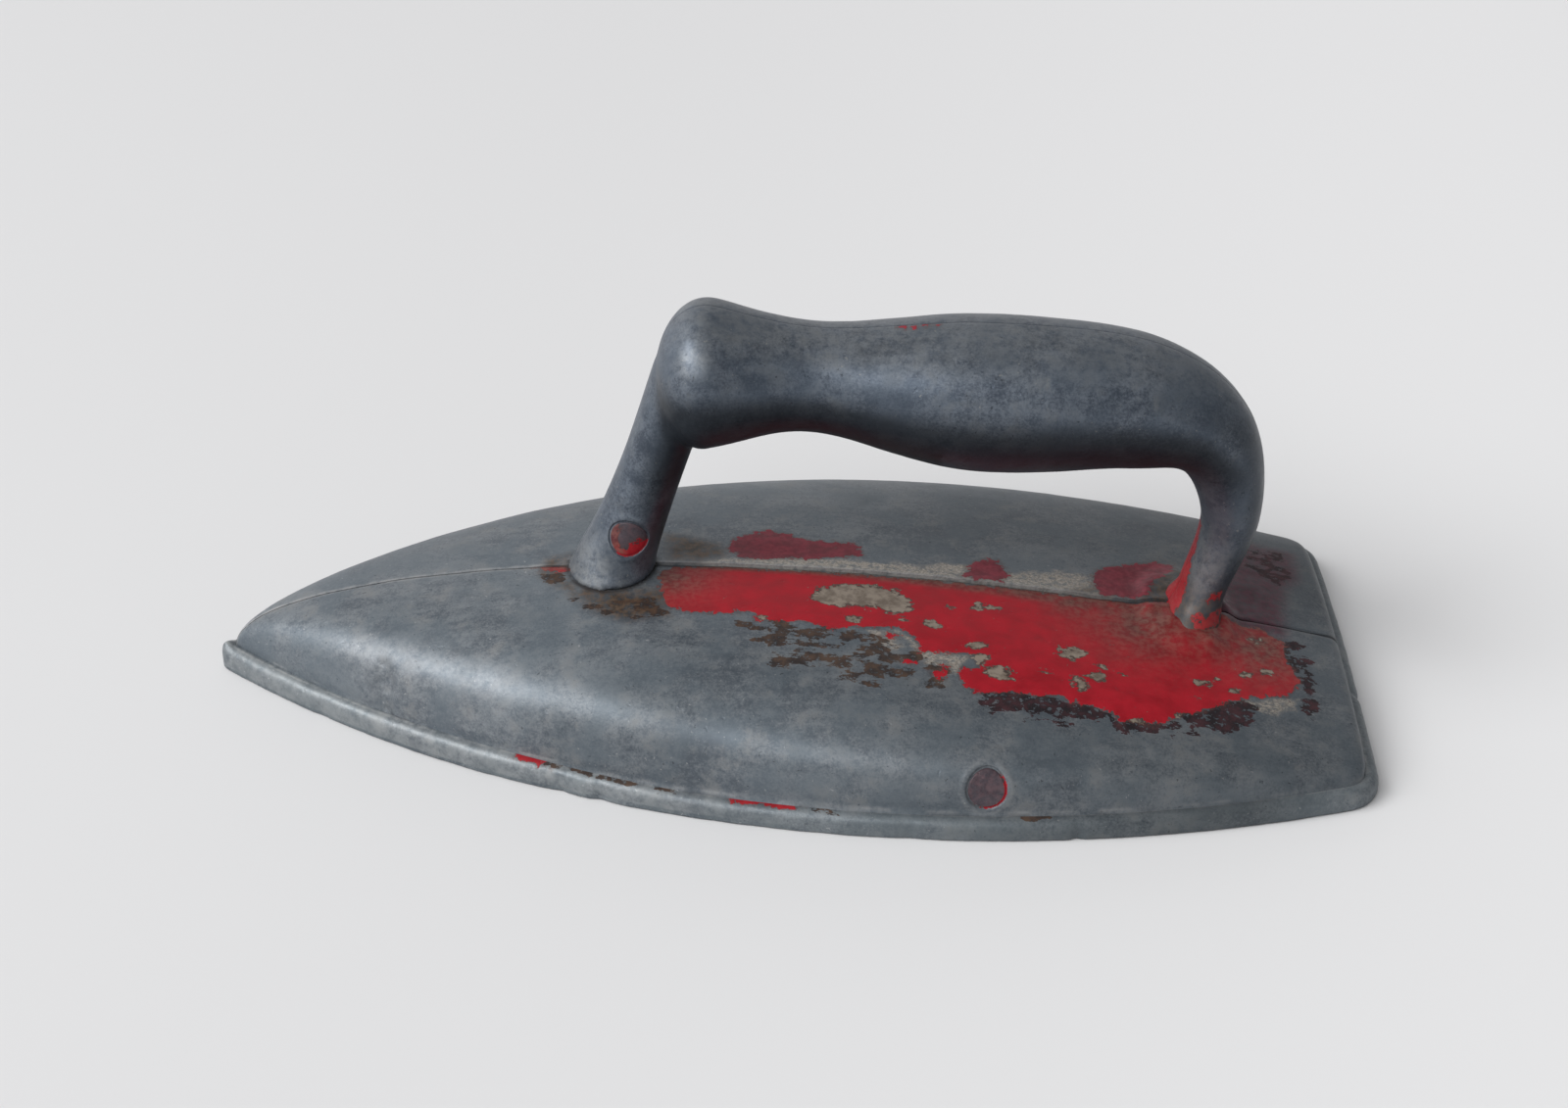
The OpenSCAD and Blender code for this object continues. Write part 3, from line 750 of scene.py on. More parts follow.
# paint and stains on the deck, seen from above in x and y
bodyPaint = {
    "main": [
        (-12.2, -4.8), (-12.4, -1.6), (-11.2, -0.3), (14.2, -0.5), (35.4, -0.2), (43.6, -1.2),
        (48.0, -1.4), (49.9, -3.1), (50.0, -6.1), (50.7, -9.7), (49.3, -12.3), (47.0, -13.0),
        (44.8, -13.9), (42.3, -15.4), (40.8, -16.7), (38.4, -17.9), (37.1, -18.9), (34.9, -19.9),
        (32.1, -20.2), (30.8, -18.9), (28.5, -18.5), (26.7, -17.8), (24.4, -18.3), (21.9, -17.7),
        (20.0, -18.5), (18.1, -18.3), (16.8, -16.4), (17.2, -15.1), (19.1, -14.9), (18.3, -12.7),
        (13.1, -13.0), (13.0, -11.4), (11.3, -9.3), (8.8, -9.8), (6.3, -9.6), (4.8, -10.6),
        (1.9, -9.4), (-2.7, -9.6), (-2.9, -8.4), (-9.0, -8.6), (-11.3, -7.8),
    ],
    "redSpots": [
        (10.4, -10.8, 0.45), (12.3, -14.8, 0.3), (14.9, -16.3, 0.45), (15.5, -15.1, 0.3),
        (-24.0, 0.2, 0.6), (-23.2, -0.4, 0.7), (-22.4, -0.6, 0.6),
    ],
    "bareSpot": [
        (2.5, -5.5), (3.2, -3.6), (4.8, -2.7), (9.1, -2.2), (11.0, -2.8), (12.4, -4.3),
        (13.1, -5.4), (12.1, -6.4), (10.0, -7.3), (9.4, -6.1), (6.7, -6.5), (3.8, -6.5),
    ],
    "chips": [  # x, y, radius
        (6.9, -8.4, 0.5), (11.7, -8.1, 0.4), (14.6, -8.2, 0.6), (16.1, -5.1, 0.35),
        (8.1, -7.0, 0.2), (19.2, -4.4, 0.6), (20.7, -4.4, 0.5), (18.8, -11.3, 0.7),
        (18.9, -13.4, 0.9), (20.8, -15.2, 1.1), (28.0, -10.7, 1.05), (30.6, -12.2, 0.4),
        (25.5, -14.5, 0.4), (28.5, -15.4, 0.75), (30.2, -14.0, 0.75), (33.0, -13.3, 0.45),
        (40.3, -12.7, 0.6), (42.2, -11.6, 0.3), (45.5, -10.0, 0.5), (47.2, -9.0, 0.35),
        (43.6, -13.1, 0.4), (39.5, -15.4, 0.2), (46.8, -3.5, 0.4), (33.8, -19.7, 0.5),
        (38.0, -18.4, 0.4), (-2.1, -9.2, 0.3),
    ],
    "farPatches": [
        [(-5.6, 3.2), (-5.3, 5.1), (-4.0, 6.3), (-1.8, 7.4), (-0.1, 6.9), (1.6, 5.7), (7.1, 5.6),
         (7.7, 3.1), (3.8, 2.2), (0.0, 1.5), (-4.4, 1.1)],
        [(17.5, 0.5), (18.1, 1.6), (19.6, 4.4), (21.5, 4.8), (22.5, 2.3), (21.9, 0.4)],
        [(30.9, 2.7), (31.6, 5.4), (34.6, 7.2), (38.1, 8.6), (40.1, 8.7), (39.6, 6.2), (37.7, 4.1),
         (36.4, 0.4), (31.8, 0.3)],
    ],
    "brown": [  # x, y, radius
        (-0.1, -10.2, 0.8), (2.5, -11.3, 0.8), (0.0, -15.9, 0.9), (-3.7, -10.3, 0.4),
        (-1.8, -12.9, 0.45), (4.4, -13.6, 0.3), (3.5, -14.9, 0.65), (5.8, -15.9, 0.75),
        (6.5, -17.6, 0.5), (8.9, -15.9, 0.8), (9.1, -18.2, 0.35), (11.0, -16.8, 0.5),
        (14.0, -17.6, 0.5), (10.5, -12.1, 0.6), (-21.0, -6.5, 0.4), (-18.9, -7.8, 0.4),
        (-14.5, -9.6, 0.5), (-12.4, -8.9, 0.5),
    ],
    "brownZones": [
        [(-25.4, -1.2), (-23.6, 1.4), (-21.4, 1.6), (-21.6, -1.6), (-20.2, -5.0), (-22.6, -5.2),
         (-24.6, -3.0)],
        [(-4.5, -9.8), (2.0, -9.6), (9.0, -10.4), (13.0, -12.6), (17.0, -16.0), (15.5, -18.0),
         (8.0, -18.2), (-0.5, -16.6)],
        [(-21.5, -5.0), (-19.0, -7.4), (-16.5, -6.4), (-12.6, -5.6), (-10.6, -9.0), (-13.1, -9.8),
         (-15.0, -10.6), (-18.0, -9.2)],
    ],
    "soot": [
        [(18.6, -19.6), (19.6, -18.3), (21.9, -17.5), (23.8, -18.4), (26.6, -18.0), (28.8, -18.6),
         (31.0, -19.2), (29.8, -20.6), (26.0, -20.5), (22.5, -20.3), (19.9, -20.6)],
        [(30.4, -19.2), (32.0, -20.4), (34.7, -19.9), (36.8, -19.2), (37.6, -19.4), (35.6, -21.1),
         (32.0, -21.4)],
        [(38.2, -18.0), (40.8, -16.5), (42.5, -15.0), (45.6, -15.0), (45.2, -16.8), (42.7, -19.1),
         (38.8, -19.9)],
        [(49.6, -13.6), (51.4, -12.1), (52.0, -13.6), (51.1, -15.3)],
    ],
    "sootStreaks": [
        [(49.6, -2.4), (51.7, -1.9), (52.8, -5.0), (52.8, -10.1), (51.0, -12.4), (49.6, -8.6),
         (49.1, -6.0)],
        [(47.4, 12.6), (49.4, 16.6), (52.8, 16.4), (53.0, 10.8), (51.2, 7.8), (49.2, 9.6)],
        [(20.5, -21.1), (22.4, -20.2), (26.0, -20.8), (29.8, -20.6), (28.0, -22.0), (22.5, -22.4)],
        [(31.5, -21.2), (36.0, -20.8), (40.5, -19.4), (44.5, -17.5), (43.5, -19.6), (38.0, -21.4),
         (33.0, -22.2)],
    ],
    "seamWear": [
        (-9.0, -0.2), (-2.8, 1.4), (7.1, 2.0), (13.7, 1.7), (17.0, 2.8), (22.5, 2.3), (27.0, 3.6),
        (30.9, 3.8), (33.0, -0.2),
    ],
    "pale": [
        [(10.1, -9.7), (11.3, -9.3), (13.1, -11.4), (18.0, -13.0), (17.0, -16.3), (15.1, -17.0),
         (13.0, -15.0), (11.6, -11.8)],
        [(8.0, -9.9), (10.4, -9.9), (12.4, -12.6), (10.6, -14.0), (8.2, -12.0)],
        [(43.6, -14.8), (46.7, -13.2), (50.4, -12.3), (50.0, -14.9), (46.3, -16.3)],
    ],
    "dust": [
        [(-24.8, -1.4), (-24.1, 1.4), (-21.5, 2.5), (-21.8, -2.0), (-20.2, -4.6), (-20.8, -5.5),
         (-22.8, -4.1)],
        [(-21.5, -5.3), (-19.4, -4.0), (-16.9, -4.8), (-13.5, -4.4), (-11.4, -4.4), (-11.0, -9.5),
         (-13.1, -9.8), (-15.0, -10.6), (-16.9, -9.8), (-19.3, -8.4)],
        [(28.5, 0.2), (31.0, 1.8), (36.5, 2.8), (39.5, 4.8), (40.5, 0.2)],
        [(-12.4, 6.2), (-10.2, 5.7), (-6.6, 4.3), (-5.6, 1.6), (-8.5, 0.1), (-11.7, 0.5)],
    ],
    "smoke": [
        (42.0, 0.5), (44.0, 6.5), (48.5, 16.5), (53.0, 16.0), (52.8, 10.7), (51.0, 7.9),
        (50.2, 3.6), (49.8, -1.4), (43.6, -2.6),
    ],
    "thin": {  # depth and shift
        "brownZones": (0.8, -0.75), "sootStreaks": (0.7, -0.52), "soot": (0.9, 0.15),
    },
    "shoulder": [  # x, y along the near rub and painted highlight
        (-46.0, -6.6), (-31.1, -14.2), (-22.2, -18.6), (-9.0, -22.5),
    ],
    "dullSpots": [  # x, y, reach
        (36.0, -3.5, 6.5), (47.5, -4.5, 6.0), (-11.8, -2.2, 4.6), (42.0, -4.5, 4.0),
        (29.0, -1.5, 3.0),
    ],
}


def thinned(name, x, y):  # patches that break up into flecks
    depth, shift = bodyPaint["thin"][name]
    return np.minimum(inPatches(bodyPaint[name], x, y), depth) + shift


def bodyMarks(mesh, side):
    points = meshPoints(mesh)
    x, y, z = points.T
    paint = bodyPaint
    outer = np.abs(y)
    values = {}
    if side < 0:
        seamBand = np.interp(x, (5, 30), (1.0, 2.6))
        dull = 0.9 * step(1.35, 0.5, outer / seamBand)
        for cx, cy, r in paint["dullSpots"]:
            dull = np.maximum(dull, 0.95 * hill(np.hypot(x - cx, y - cy), r))
        values["dull"] = dull
        values["red"] = np.maximum(insideBy(paint["main"], x, y), onSpots(paint["redSpots"], x, y, 0.6))
        chips = onSpots(paint["chips"], x, y, 0.75)
        values["chip"] = np.maximum(insideBy(paint["bareSpot"], x, y), chips)
        values["brown"] = np.maximum(onSpots(paint["brown"], x, y, 0.55), thinned("brownZones", x, y))
    else:
        values["dull"] = 0.15
        values["old"] = 0.9
        values["red"] = inPatches(paint["farPatches"], x, y)
    values["soot"] = np.maximum(thinned("soot", x, y), thinned("sootStreaks", x, y))
    values["pale"] = np.maximum(insideBy(paint["seamWear"], x, y), inPatches(paint["pale"], x, y) - 0.6)
    dust = step(-0.8, 1.2, inPatches(paint["dust"], x, y))
    footX, footLength, footWidth, _ = body["rearFillet"]
    rearDust = 0.9 * step(2.0, 1.0, np.hypot((x - footX) / footLength, y / footWidth))
    values["dust"] = np.maximum(dust, rearDust)
    values["smoke"] = step(-1.8, 0.6, insideBy(paint["smoke"], x, y))

    rx, rz = rivets["body"]
    inRing = np.where(outer > 20, np.hypot(x - rx, z - rz), 99)
    lowRight = (x - rx) - 0.8 * (z - rz)
    ringPaint = np.where(inRing < rivets["recessR"] + 0.02, 0.45 * lowRight - 0.35, outside)
    values["red"] = np.maximum(values["red"], ringPaint)

    joint = hill(z - jointHeight(x), 0.1) * step(0.3, 0.7, lumps(points, 2.5, 13))
    footX, footLength, footWidth = body["frontFoot"]
    crack = 0.95 * hill(np.hypot((x - footX) / footLength, y / footWidth) - 1, 0.06) * (y < 1)
    seam = hill(outer, 0.22) * (0.95 * step(42, 47, x) + 0.5 * step(-24, -18, x) * (side < 0))
    # painted shade on the upper side of the rivet recess
    ringShade = hill(inRing - rivets["recessR"], 0.1) * step(0.8, -1.4, lowRight)
    values["grimeAndShade"] = np.clip(0.4 * joint + crack * (z > 6) + seam + 0.4 * ringShade, 0, 1)
    rubbed = hill(outer - 0.12, 0.2) * (step(-10, -16, x) if side < 0 else step(36, 30, x))
    patchy = step(-0.1, 0.4, lumps(points, 1.6, 14))
    aboveJoint = 0.8 * hill(z - jointHeight(x) - 0.22, 0.16) * (outer > 3) * patchy
    shoulderX, shoulderY = np.array(paint["shoulder"]).T
    offShoulder = y - np.interp(x, shoulderX, shoulderY)
    # a pale rub that is also a painted highlight along the near shoulder
    shoulderRubAndHighlight = 0.3 * hill(offShoulder, 1.8) * step(-48, -41, x) * step(-20, -28, x)
    ringRub = 0.3 * hill(inRing - 2.4, 0.2)
    values["edge"] = np.maximum.reduce([0.9 * rubbed, aboveJoint, ringRub, shoulderRubAndHighlight])
    # painted shade: darker towards the heel, high near the nose, over part of the shoulder highlight,
    # on the far half and low on the sides
    lengthwiseShade = 0.32 * step(-25, 45, x) + 0.14 * step(-16, -40, x) * step(4, 7.5, z)
    lengthwiseShade += 0.3 * hill(offShoulder, 2.6) * step(-27, -21, x) * step(-4, -10, x)
    values["dark"] = lengthwiseShade + 0.2 * step(0, 14, y) + 0.1 * step(9, 5, z) * step(-10, 20, x)
    mark(mesh, **values)


for side, label in ((-1, "left"), (1, "right")):
    mesh = bodyMesh(side)
    bodyMarks(mesh, side)
    placePiece(mesh, label + "BodyCasting", label + "_body_half", bodyFinish)
print("body halves cast")

handle = {
    "voxel": 0.24,
    "stepsPerRow": 22,
    "around": 72,
    "seatGap": 0.15,
    "domeLength": 4.9,
    "post": [  # x, height above the deck at the foot, thickness, width
        (-17.4, 0.0, 8.7, 10.4), (-15.9, 3.6, 7.1, 7.7), (-13.0, 11.6, 6.2, 7.2),
        (-9.5, 22.0, 6.4, 7.8),
    ],
    "grip": [  # x, height above the deck top, thickness, width
        (-7.6, 21.7, 14.7, 15.2), (2.9, 21.4, 10.5, 11.4), (18.0, 19.8, 15.0, 15.8),
        (33.2, 19.1, 13.2, 14.2), (41.2, 15.5, 9.0, 10.6),
    ],
    "rear": [  # x, height above the deck at the foot, thickness, width
        (43.9, 12.2, 5.9, 7.6), (41.9, 3.6, 4.7, 7.0), (41.0, 0.0, 5.8, 10.6),
    ],
    "crease": (-10.5, 31.5, 5.5),  # x, z and reach of the filled hollow under the bulb
    "bulbEase": (-7.6, 3.0),  # x and reach of the rounding over the bulb
    "frontZone": 15,  # the front bar lies below this x and the rear bar above the next
    "rearZone": 30,
    "lowZone": 22,  # posts and feet lie below this z and the grip above the next
    "gripZone": 30,
    "waves": [(0.05, 9, 21), (0.02, 3, 22), (0.008, 1.1, 23)],
    "toe": (-0.6, 0.8, 0.5),  # way out in x and y, and length, of the rear foot's spread corners
}
frontDeck, rearDeck = float(crown(handle["post"][0][0])), float(crown(handle["rear"][-1][0]))
deckTop = plateT + deck["rise"]


def raised(rows, base):
    return [(x, base + rise, thick, wide) for x, rise, thick, wide in rows]


postRows = np.array(raised(handle["post"], frontDeck))
gripRows = np.array(raised(handle["grip"], deckTop) + raised(handle["rear"], rearDeck))


def along(rows, u):  # smooth curve through the rows
    k = min(int(u), len(rows) - 2)
    t = u - k
    a, b, c, d = np.vstack([2 * rows[0] - rows[1], rows, 2 * rows[-1] - rows[-2]])[k:k + 4]
    bend = 2 * a - 5 * b + 4 * c - d
    return (2 * b + (c - a) * t + bend * t ** 2 + (3 * b - a - 3 * c + d) * t ** 3) / 2


def pathTurn(rows, u):
    here, there = along(rows, max(0, u - 0.02)), along(rows, min(len(rows) - 1, u + 0.02))
    return math.atan2(there[1] - here[1], there[0] - here[0])


def deckSlope(x):
    return math.atan2(float(crown(x + 1) - crown(x - 1)), 2)


def ring(row, turn):
    swing = np.linspace(0, 2 * math.pi, handle["around"], endpoint=False)
    off, y = row[2] / 2 * np.sin(swing), row[3] / 2 * np.cos(swing)
    return np.stack([row[0] - off * math.sin(turn), y, row[1] + off * math.cos(turn)], 1)


def seated(points):
    points = points.copy()
    points[:, 2] = deckHeight(points[:, 0], points[:, 1]) + handle["seatGap"]
    return points


def barRings(rows, foot, footTurn):  # the turn eases to the deck's slope at the foot
    per = handle["stepsPerRow"]
    rings = []
    for k in range((len(rows) - 1) * per + 1):
        u = k / per
        turn = footTurn + (pathTurn(rows, u) - footTurn) * fade(min(1, abs(foot - u)))
        rings.append(ring(along(rows, u), turn))
    return rings


def barSections():
    per = handle["stepsPerRow"]
    post = barRings(postRows, 0, math.pi / 2 + deckSlope(postRows[0][0]))
    post[0] = seated(post[0])
    x, z, thick, wide = gripRows[0]
    dome = []
    for k in range(1, per):
        a = math.pi / 2 * k / per
        row = (x - handle["domeLength"] * math.cos(a), z, thick * math.sin(a), wide * math.sin(a))
        dome.append(ring(row, pathTurn(gripRows, 0)))
    end = len(gripRows) - 1
    grip = dome + barRings(gripRows, end, -math.pi / 2 + deckSlope(gripRows[end][0]))
    grip[-1] = seated(grip[-1])
    return post, grip


def barFaces(count, first):
    c = handle["around"]
    last = first + (count - 1) * c
    ends = [tuple(range(first + c - 1, first - 1, -1)), tuple(range(last, last + c))]
    return bandFaces(count, c, first) + ends


def relax(points, edges, weight, rounds, pull, push=0):
    count = np.zeros(len(points))
    np.add.at(count, edges.ravel(), 1)
    for _ in range(rounds):
        for share in (pull, push):
            if share:
                total = np.zeros_like(points)
                np.add.at(total, edges[:, 0], points[edges[:, 1]])
                np.add.at(total, edges[:, 1], points[edges[:, 0]])
                points = points + share * weight[:, None] * (total / count[:, None] - points)
    return points


def handleMesh():  # both bars grown together into one casting
    post, grip = barSections()
    points = np.concatenate(post + grip)
    faces = barFaces(len(post), 0) + barFaces(len(grip), len(post) * handle["around"])
    rough = newMesh("handleRough", points, faces)
    holder = bpy.data.objects.new("handleRough", rough)
    scene.collection.objects.link(holder)
    remesh = holder.modifiers.new("one casting", "REMESH")
    remesh.mode = "VOXEL"
    remesh.voxel_size = handle["voxel"]
    bpy.context.view_layer.update()
    whole = bpy.data.meshes.new_from_object(holder.evaluated_get(bpy.context.evaluated_depsgraph_get()))
    bpy.data.objects.remove(holder)
    points = meshPoints(whole)
    edges = np.empty(len(whole.edges) * 2, np.int32)
    whole.edges.foreach_get("vertices", edges)
    edges = edges.reshape(-1, 2)
    clear = points[:, 2] - deckHeight(points[:, 0], points[:, 1])
    offDeck = np.where(points[:, 2] < handle["lowZone"], step(0.1, 1.0, clear), 1)
    points = relax(points, edges, offDeck, 14, 0.5, -0.52)
    bulbX, reach = handle["bulbEase"]
    onBulb = hill(points[:, 0] - bulbX, reach) * step(28, 31, points[:, 2])
    points = relax(points, edges, onBulb, 60, 0.5)
    setPoints(whole, points)
    cx, cz, reach = handle["crease"]
    zone = hill(np.hypot(points[:, 0] - cx, points[:, 2] - cz), reach)
    for _ in range(12):  # fill the hollow where the post runs into the bulb
        smooth = relax(points, edges, zone, 10, 0.5)
        normals = meshNormals(whole)
        points = points + normals * np.maximum(0, ((smooth - points) * normals).sum(1))[:, None]
        setPoints(whole, points)
    toeX, toeY, toeLength = handle["toe"]
    fromX, fromY = points[:, 0] - handle["rear"][-1][0], np.abs(points[:, 1])
    facing = (fromX * toeX + fromY * toeY) / np.maximum(0.5, np.hypot(fromX, fromY))
    clear = points[:, 2] - deckHeight(points[:, 0], points[:, 1])
    atRear = (points[:, 0] > handle["rearZone"]) & (points[:, 2] < handle["lowZone"])
    low = step(3.0, 0.2, clear) * atRear
    spread = toeLength * low * step(0.45, 0.95, facing)
    points[:, 0] += spread * toeX
    points[:, 1] += spread * toeY * np.sign(points[:, 1])
    setPoints(whole, points)
    return whole


def handleHalf(whole, side):
    mesh = whole.copy()
    bm = bmesh.new()
    bm.from_mesh(mesh)
    geometry = list(bm.verts) + list(bm.edges) + list(bm.faces)
    cut = bmesh.ops.bisect_plane(
        bm, geom=geometry, dist=1e-4, plane_co=(0, 0, 0), plane_no=(0, side, 0), clear_inner=True
    )
    rim = [e for e in cut["geom_cut"] if isinstance(e, bmesh.types.BMEdge)]
    for v in {v for e in rim for v in e.verts}:
        v.co.y = side * 0.02
    bmesh.ops.edgeloop_fill(bm, edges=rim)
    bmesh.ops.recalc_face_normals(bm, faces=bm.faces)
    bm.to_mesh(mesh)
    bm.free()
    mesh.update()
    points, normals = meshPoints(mesh), meshNormals(mesh)
    offSeam = np.abs(points[:, 1])
    lift = waves(points, handle["waves"]) * step(0.1, 1.5, offSeam)
    seamWave = 0.5 + 0.5 * lumps(points, 2.5, 24)
    drop = 0.03 * seamWave * hill(offSeam, 0.18) * (offSeam > 0.03)
    onRim = offSeam <= 0.03
    points = points + normals * (lift - drop)[:, None]
    points[onRim] -= (0.02 + 0.03 * seamWave[onRim])[:, None] * normals[onRim] * (1, 0, 1)
    points[onRim, 1] = side * 0.02
    setPoints(mesh, points)
    sinkRecess(mesh, "post", side, 2)
    return mesh


# paint, rubbed places with a painted highlight on the bulb, and dirt on the handle
handlePaint = {
    "stripEdge": [  # z, y
        (7.5, -3.6), (8.1, -3.2), (9.7, -2.2), (11.3, -1.7), (13.1, -1.2), (16.4, -0.7),
        (18.0, -0.2), (19.0, 3.0),
    ],
    "postAxis": [(7.5, 40.5), (11.1, 41.7), (19.7, 43.9)],  # z, x
    "rearSpots": [  # x, z, radius
        (42.6, 11.2, 0.5), (41.0, 9.2, 0.35), (42.6, 8.9, 0.7), (41.3, 8.0, 0.4),
    ],
    "gripSpecks": [  # x, y, radius
        (11.2, -0.25, 0.3), (13.4, -0.3, 0.3), (12.3, -0.5, 0.2), (14.4, -0.4, 0.2),
    ],
    "bulbRubAndHighlight": (-8.7, -5.8, 38.3, 1.9),  # x, y, z, reach
    "scuffs": [(24.7, 36.5, 0.5), (35.0, 34.3, 0.5)],  # x, z, reach
}


def handleMarks(mesh, side):
    points, normals = meshPoints(mesh), meshNormals(mesh)
    x, y, z = points.T
    towardsHeel, towardsTop = normals[:, 0], normals[:, 2]
    paint = handlePaint
    front, rear = x < handle["frontZone"], x > handle["rearZone"]
    lowPart, gripPart = z < handle["lowZone"], z > handle["gripZone"]
    stripZ, stripY = np.array(paint["stripEdge"]).T
    axisZ, axisX = np.array(paint["postAxis"]).T
    frontFace = (np.interp(z, axisZ, axisX) - x) * 1.5
    strip = np.minimum(np.minimum(y - np.interp(z, stripZ, stripY), 2.6 - y), frontFace)
    red = np.where(rear & lowPart, strip, outside)
    if side < 0:
        red = np.maximum(red, np.where(y < -1, onSpots(paint["rearSpots"], x, z, 0.8), outside))
        red = np.maximum(red, np.where(z > 36, onSpots(paint["gripSpecks"], x, y), outside))
    rx, rz = rivets["post"]
    inRing = np.where(np.abs(y) > 2, np.hypot(x - rx, z - rz), 99)
    low = (rz - z) + 0.4 * (x - rx)
    ringRed = np.where(inRing < rivets["recessR"] + 0.02, low - 0.9, outside)
    red = np.maximum(red, ringRed)
    # the rub on the bulb is partly a painted highlight
    bx, by, bz, reach = paint["bulbRubAndHighlight"]
    rubAndLight = 0.4 * hill(np.sqrt((x - bx) ** 2 + (y - by) ** 2 + (z - bz) ** 2), reach)
    for sx, sz, reach in paint["scuffs"]:
        rubAndLight = np.maximum(rubAndLight, 0.5 * hill(np.hypot((x - sx) * 2.5, z - sz), reach) * (y < -2))
    # painted light: grip faces turned upwards are lighter
    rubAndLight = np.maximum(rubAndLight, 0.3 * step(0.5, 0.95, towardsTop) * gripPart)
    footClear = z - deckHeight(x, np.clip(y, -20, 20))
    # the feet are lighter low down on the sides away from the heel: pale wear, and painted light from
    # the lamps
    frontTone = 0.5 * step(7, 1, footClear) * step(0.6, -0.6, towardsHeel)
    rearTone = 0.5 * step(16, 5, footClear) * step(0.7, -0.2, towardsHeel)
    footTone = np.where(front, frontTone, rearTone)
    atFoot = lowPart * hill(footClear, 0.25) * front
    # painted shade on the upper side of the rivet recess
    ringShade = hill(inRing - rivets["recessR"], 0.1) * step(0.4, -1.2, low)
    aboveFoot = np.where(front, step(5, 12, footClear), step(13, 20, footClear))
    # painted shade on undersides and on sides facing the heel, away from the lamps
    underside = step(0.3, -0.15, towardsTop) * aboveFoot
    heelward = 0.7 * step(0.0, 0.8, towardsHeel) * step(1, 6, footClear) * step(0.8, 0.3, towardsTop)
    seamRub = 0.3 * hill(np.abs(y) - 0.3, 0.25) * gripPart * step(5, 25, x)
    values = {
        "red": red,
        "dull": np.where(lowPart & rear, 0.3, 0.1),
        "old": np.where(lowPart & rear, 0.5 * step(11, 17, z), 0.5 * gripPart),
        "edge": np.maximum.reduce([rubAndLight, lowPart * footTone, seamRub]),
        "dust": 0.85 * lowPart * step(6.0, 1.0, footClear) * rear,
        "grimeAndShade": np.clip(atFoot + 0.2 * (np.abs(y) < 0.1) + 0.2 * ringShade, 0, 1),
        # painted shade, also low on the rear foot
        "dark": np.clip(np.maximum(underside, heelward) + 0.4 * step(5, 1, footClear) * rear, 0, 1),
    }
    mark(mesh, **values)


wholeHandle = handleMesh()
for side, label in ((-1, "left"), (1, "right")):
    mesh = handleHalf(wholeHandle, side)
    handleMarks(mesh, side)
    placePiece(mesh, label + "HandleCasting", label + "_handle_half", handleFinish)
bpy.data.meshes.remove(wholeHandle)
print("handle halves cast")

sole = {
    "sideSteps": 520,
    "heelSteps": 130,
    "edgeHeight": 1.0,
    "edgeSoft": 1.1,
    "footBevel": 0.3,
    "nicks": [  # x, y, half length along the edge, depth, share of the depth at the top
        (-46.6, -10.3, 0.9, 0.8, 0.3), (-21.5, -22.1, 1.3, 0.3, 0.4),
        (-17.3, -23.6, 0.8, 0.55, 0.3), (27.8, -28.6, 0.6, 0.35, 0.2), (56.9, -6.5, 0.6, 0.45, 0.8),
        (12.0, -28.8, 0.9, 0.15, 0.3), (-33.0, 16.5, 0.9, 0.35, 0.4), (38.0, 27.6, 0.8, 0.4, 0.4),
        (5.0, 28.1, 1.2, 0.2, 0.5),
    ],
    "nub": (0.1, 0.5, 0.6, -55.9, -56.6),  # reach, rise and half width at the nose, from and to in x
    "waves": [(0.06, 6, 31), (0.04, 2, 32), (0.02, 0.8, 33)],
    "redFlecks": [(-24.0, 1.2), (-1.6, 3.0), (-3.6, 1.2)],  # x and half length along the near joint
    "brownFlecks": [
        (-22.0, 0.9), (-19.0, 1.2), (-16.0, 1.6), (-11.0, 1.0), (4.0, 1.0), (24.0, 1.5),
    ],
}


def soleRing(inset, z):
    s = np.linspace(0, 1, sole["sideSteps"] + 1)
    s = 0.4 * s + 0.3 * (1 - np.cos(math.pi * s))
    x = noseX(inset) + (heelX(inset) - noseX(inset)) * s
    y = halfWidth(x, inset)
    right = np.stack([bowed(x, y), y, np.full(x.shape, z)], 1)
    endY = y[-1] * (1 - 2 * np.arange(1, sole["heelSteps"]) / sole["heelSteps"])
    heel = np.stack([bowed(heelX(inset), endY), endY, np.full(endY.shape, z)], 1)
    left = right[:0:-1] * (1, -1, 1)
    return np.concatenate([right, heel, left])


def soleProfile():  # inset and height, from the underside round the edge and up over the soft corner
    bevel, soft, t, h = sole["footBevel"], sole["edgeSoft"], plateT, sole["edgeHeight"]
    steps = [(3.0, 0), (1.4, 0), (0.8, 0), (bevel + 0.15, 0)]
    for a in np.linspace(0, math.pi / 2, 6):
        steps.append((bevel * (1 - math.sin(a)), bevel * (1 - math.cos(a))))
    steps += [(0, bevel + (h - bevel) * k / 5) for k in range(1, 5)]
    for a in np.linspace(0, math.pi / 2, 11):
        steps.append((soft * (1 - math.cos(a)), h + (t - h) * math.sin(a)))
    return steps + [(1.3, t - 0.02), (1.6, t - 0.03), (3.0, t - 0.03)]


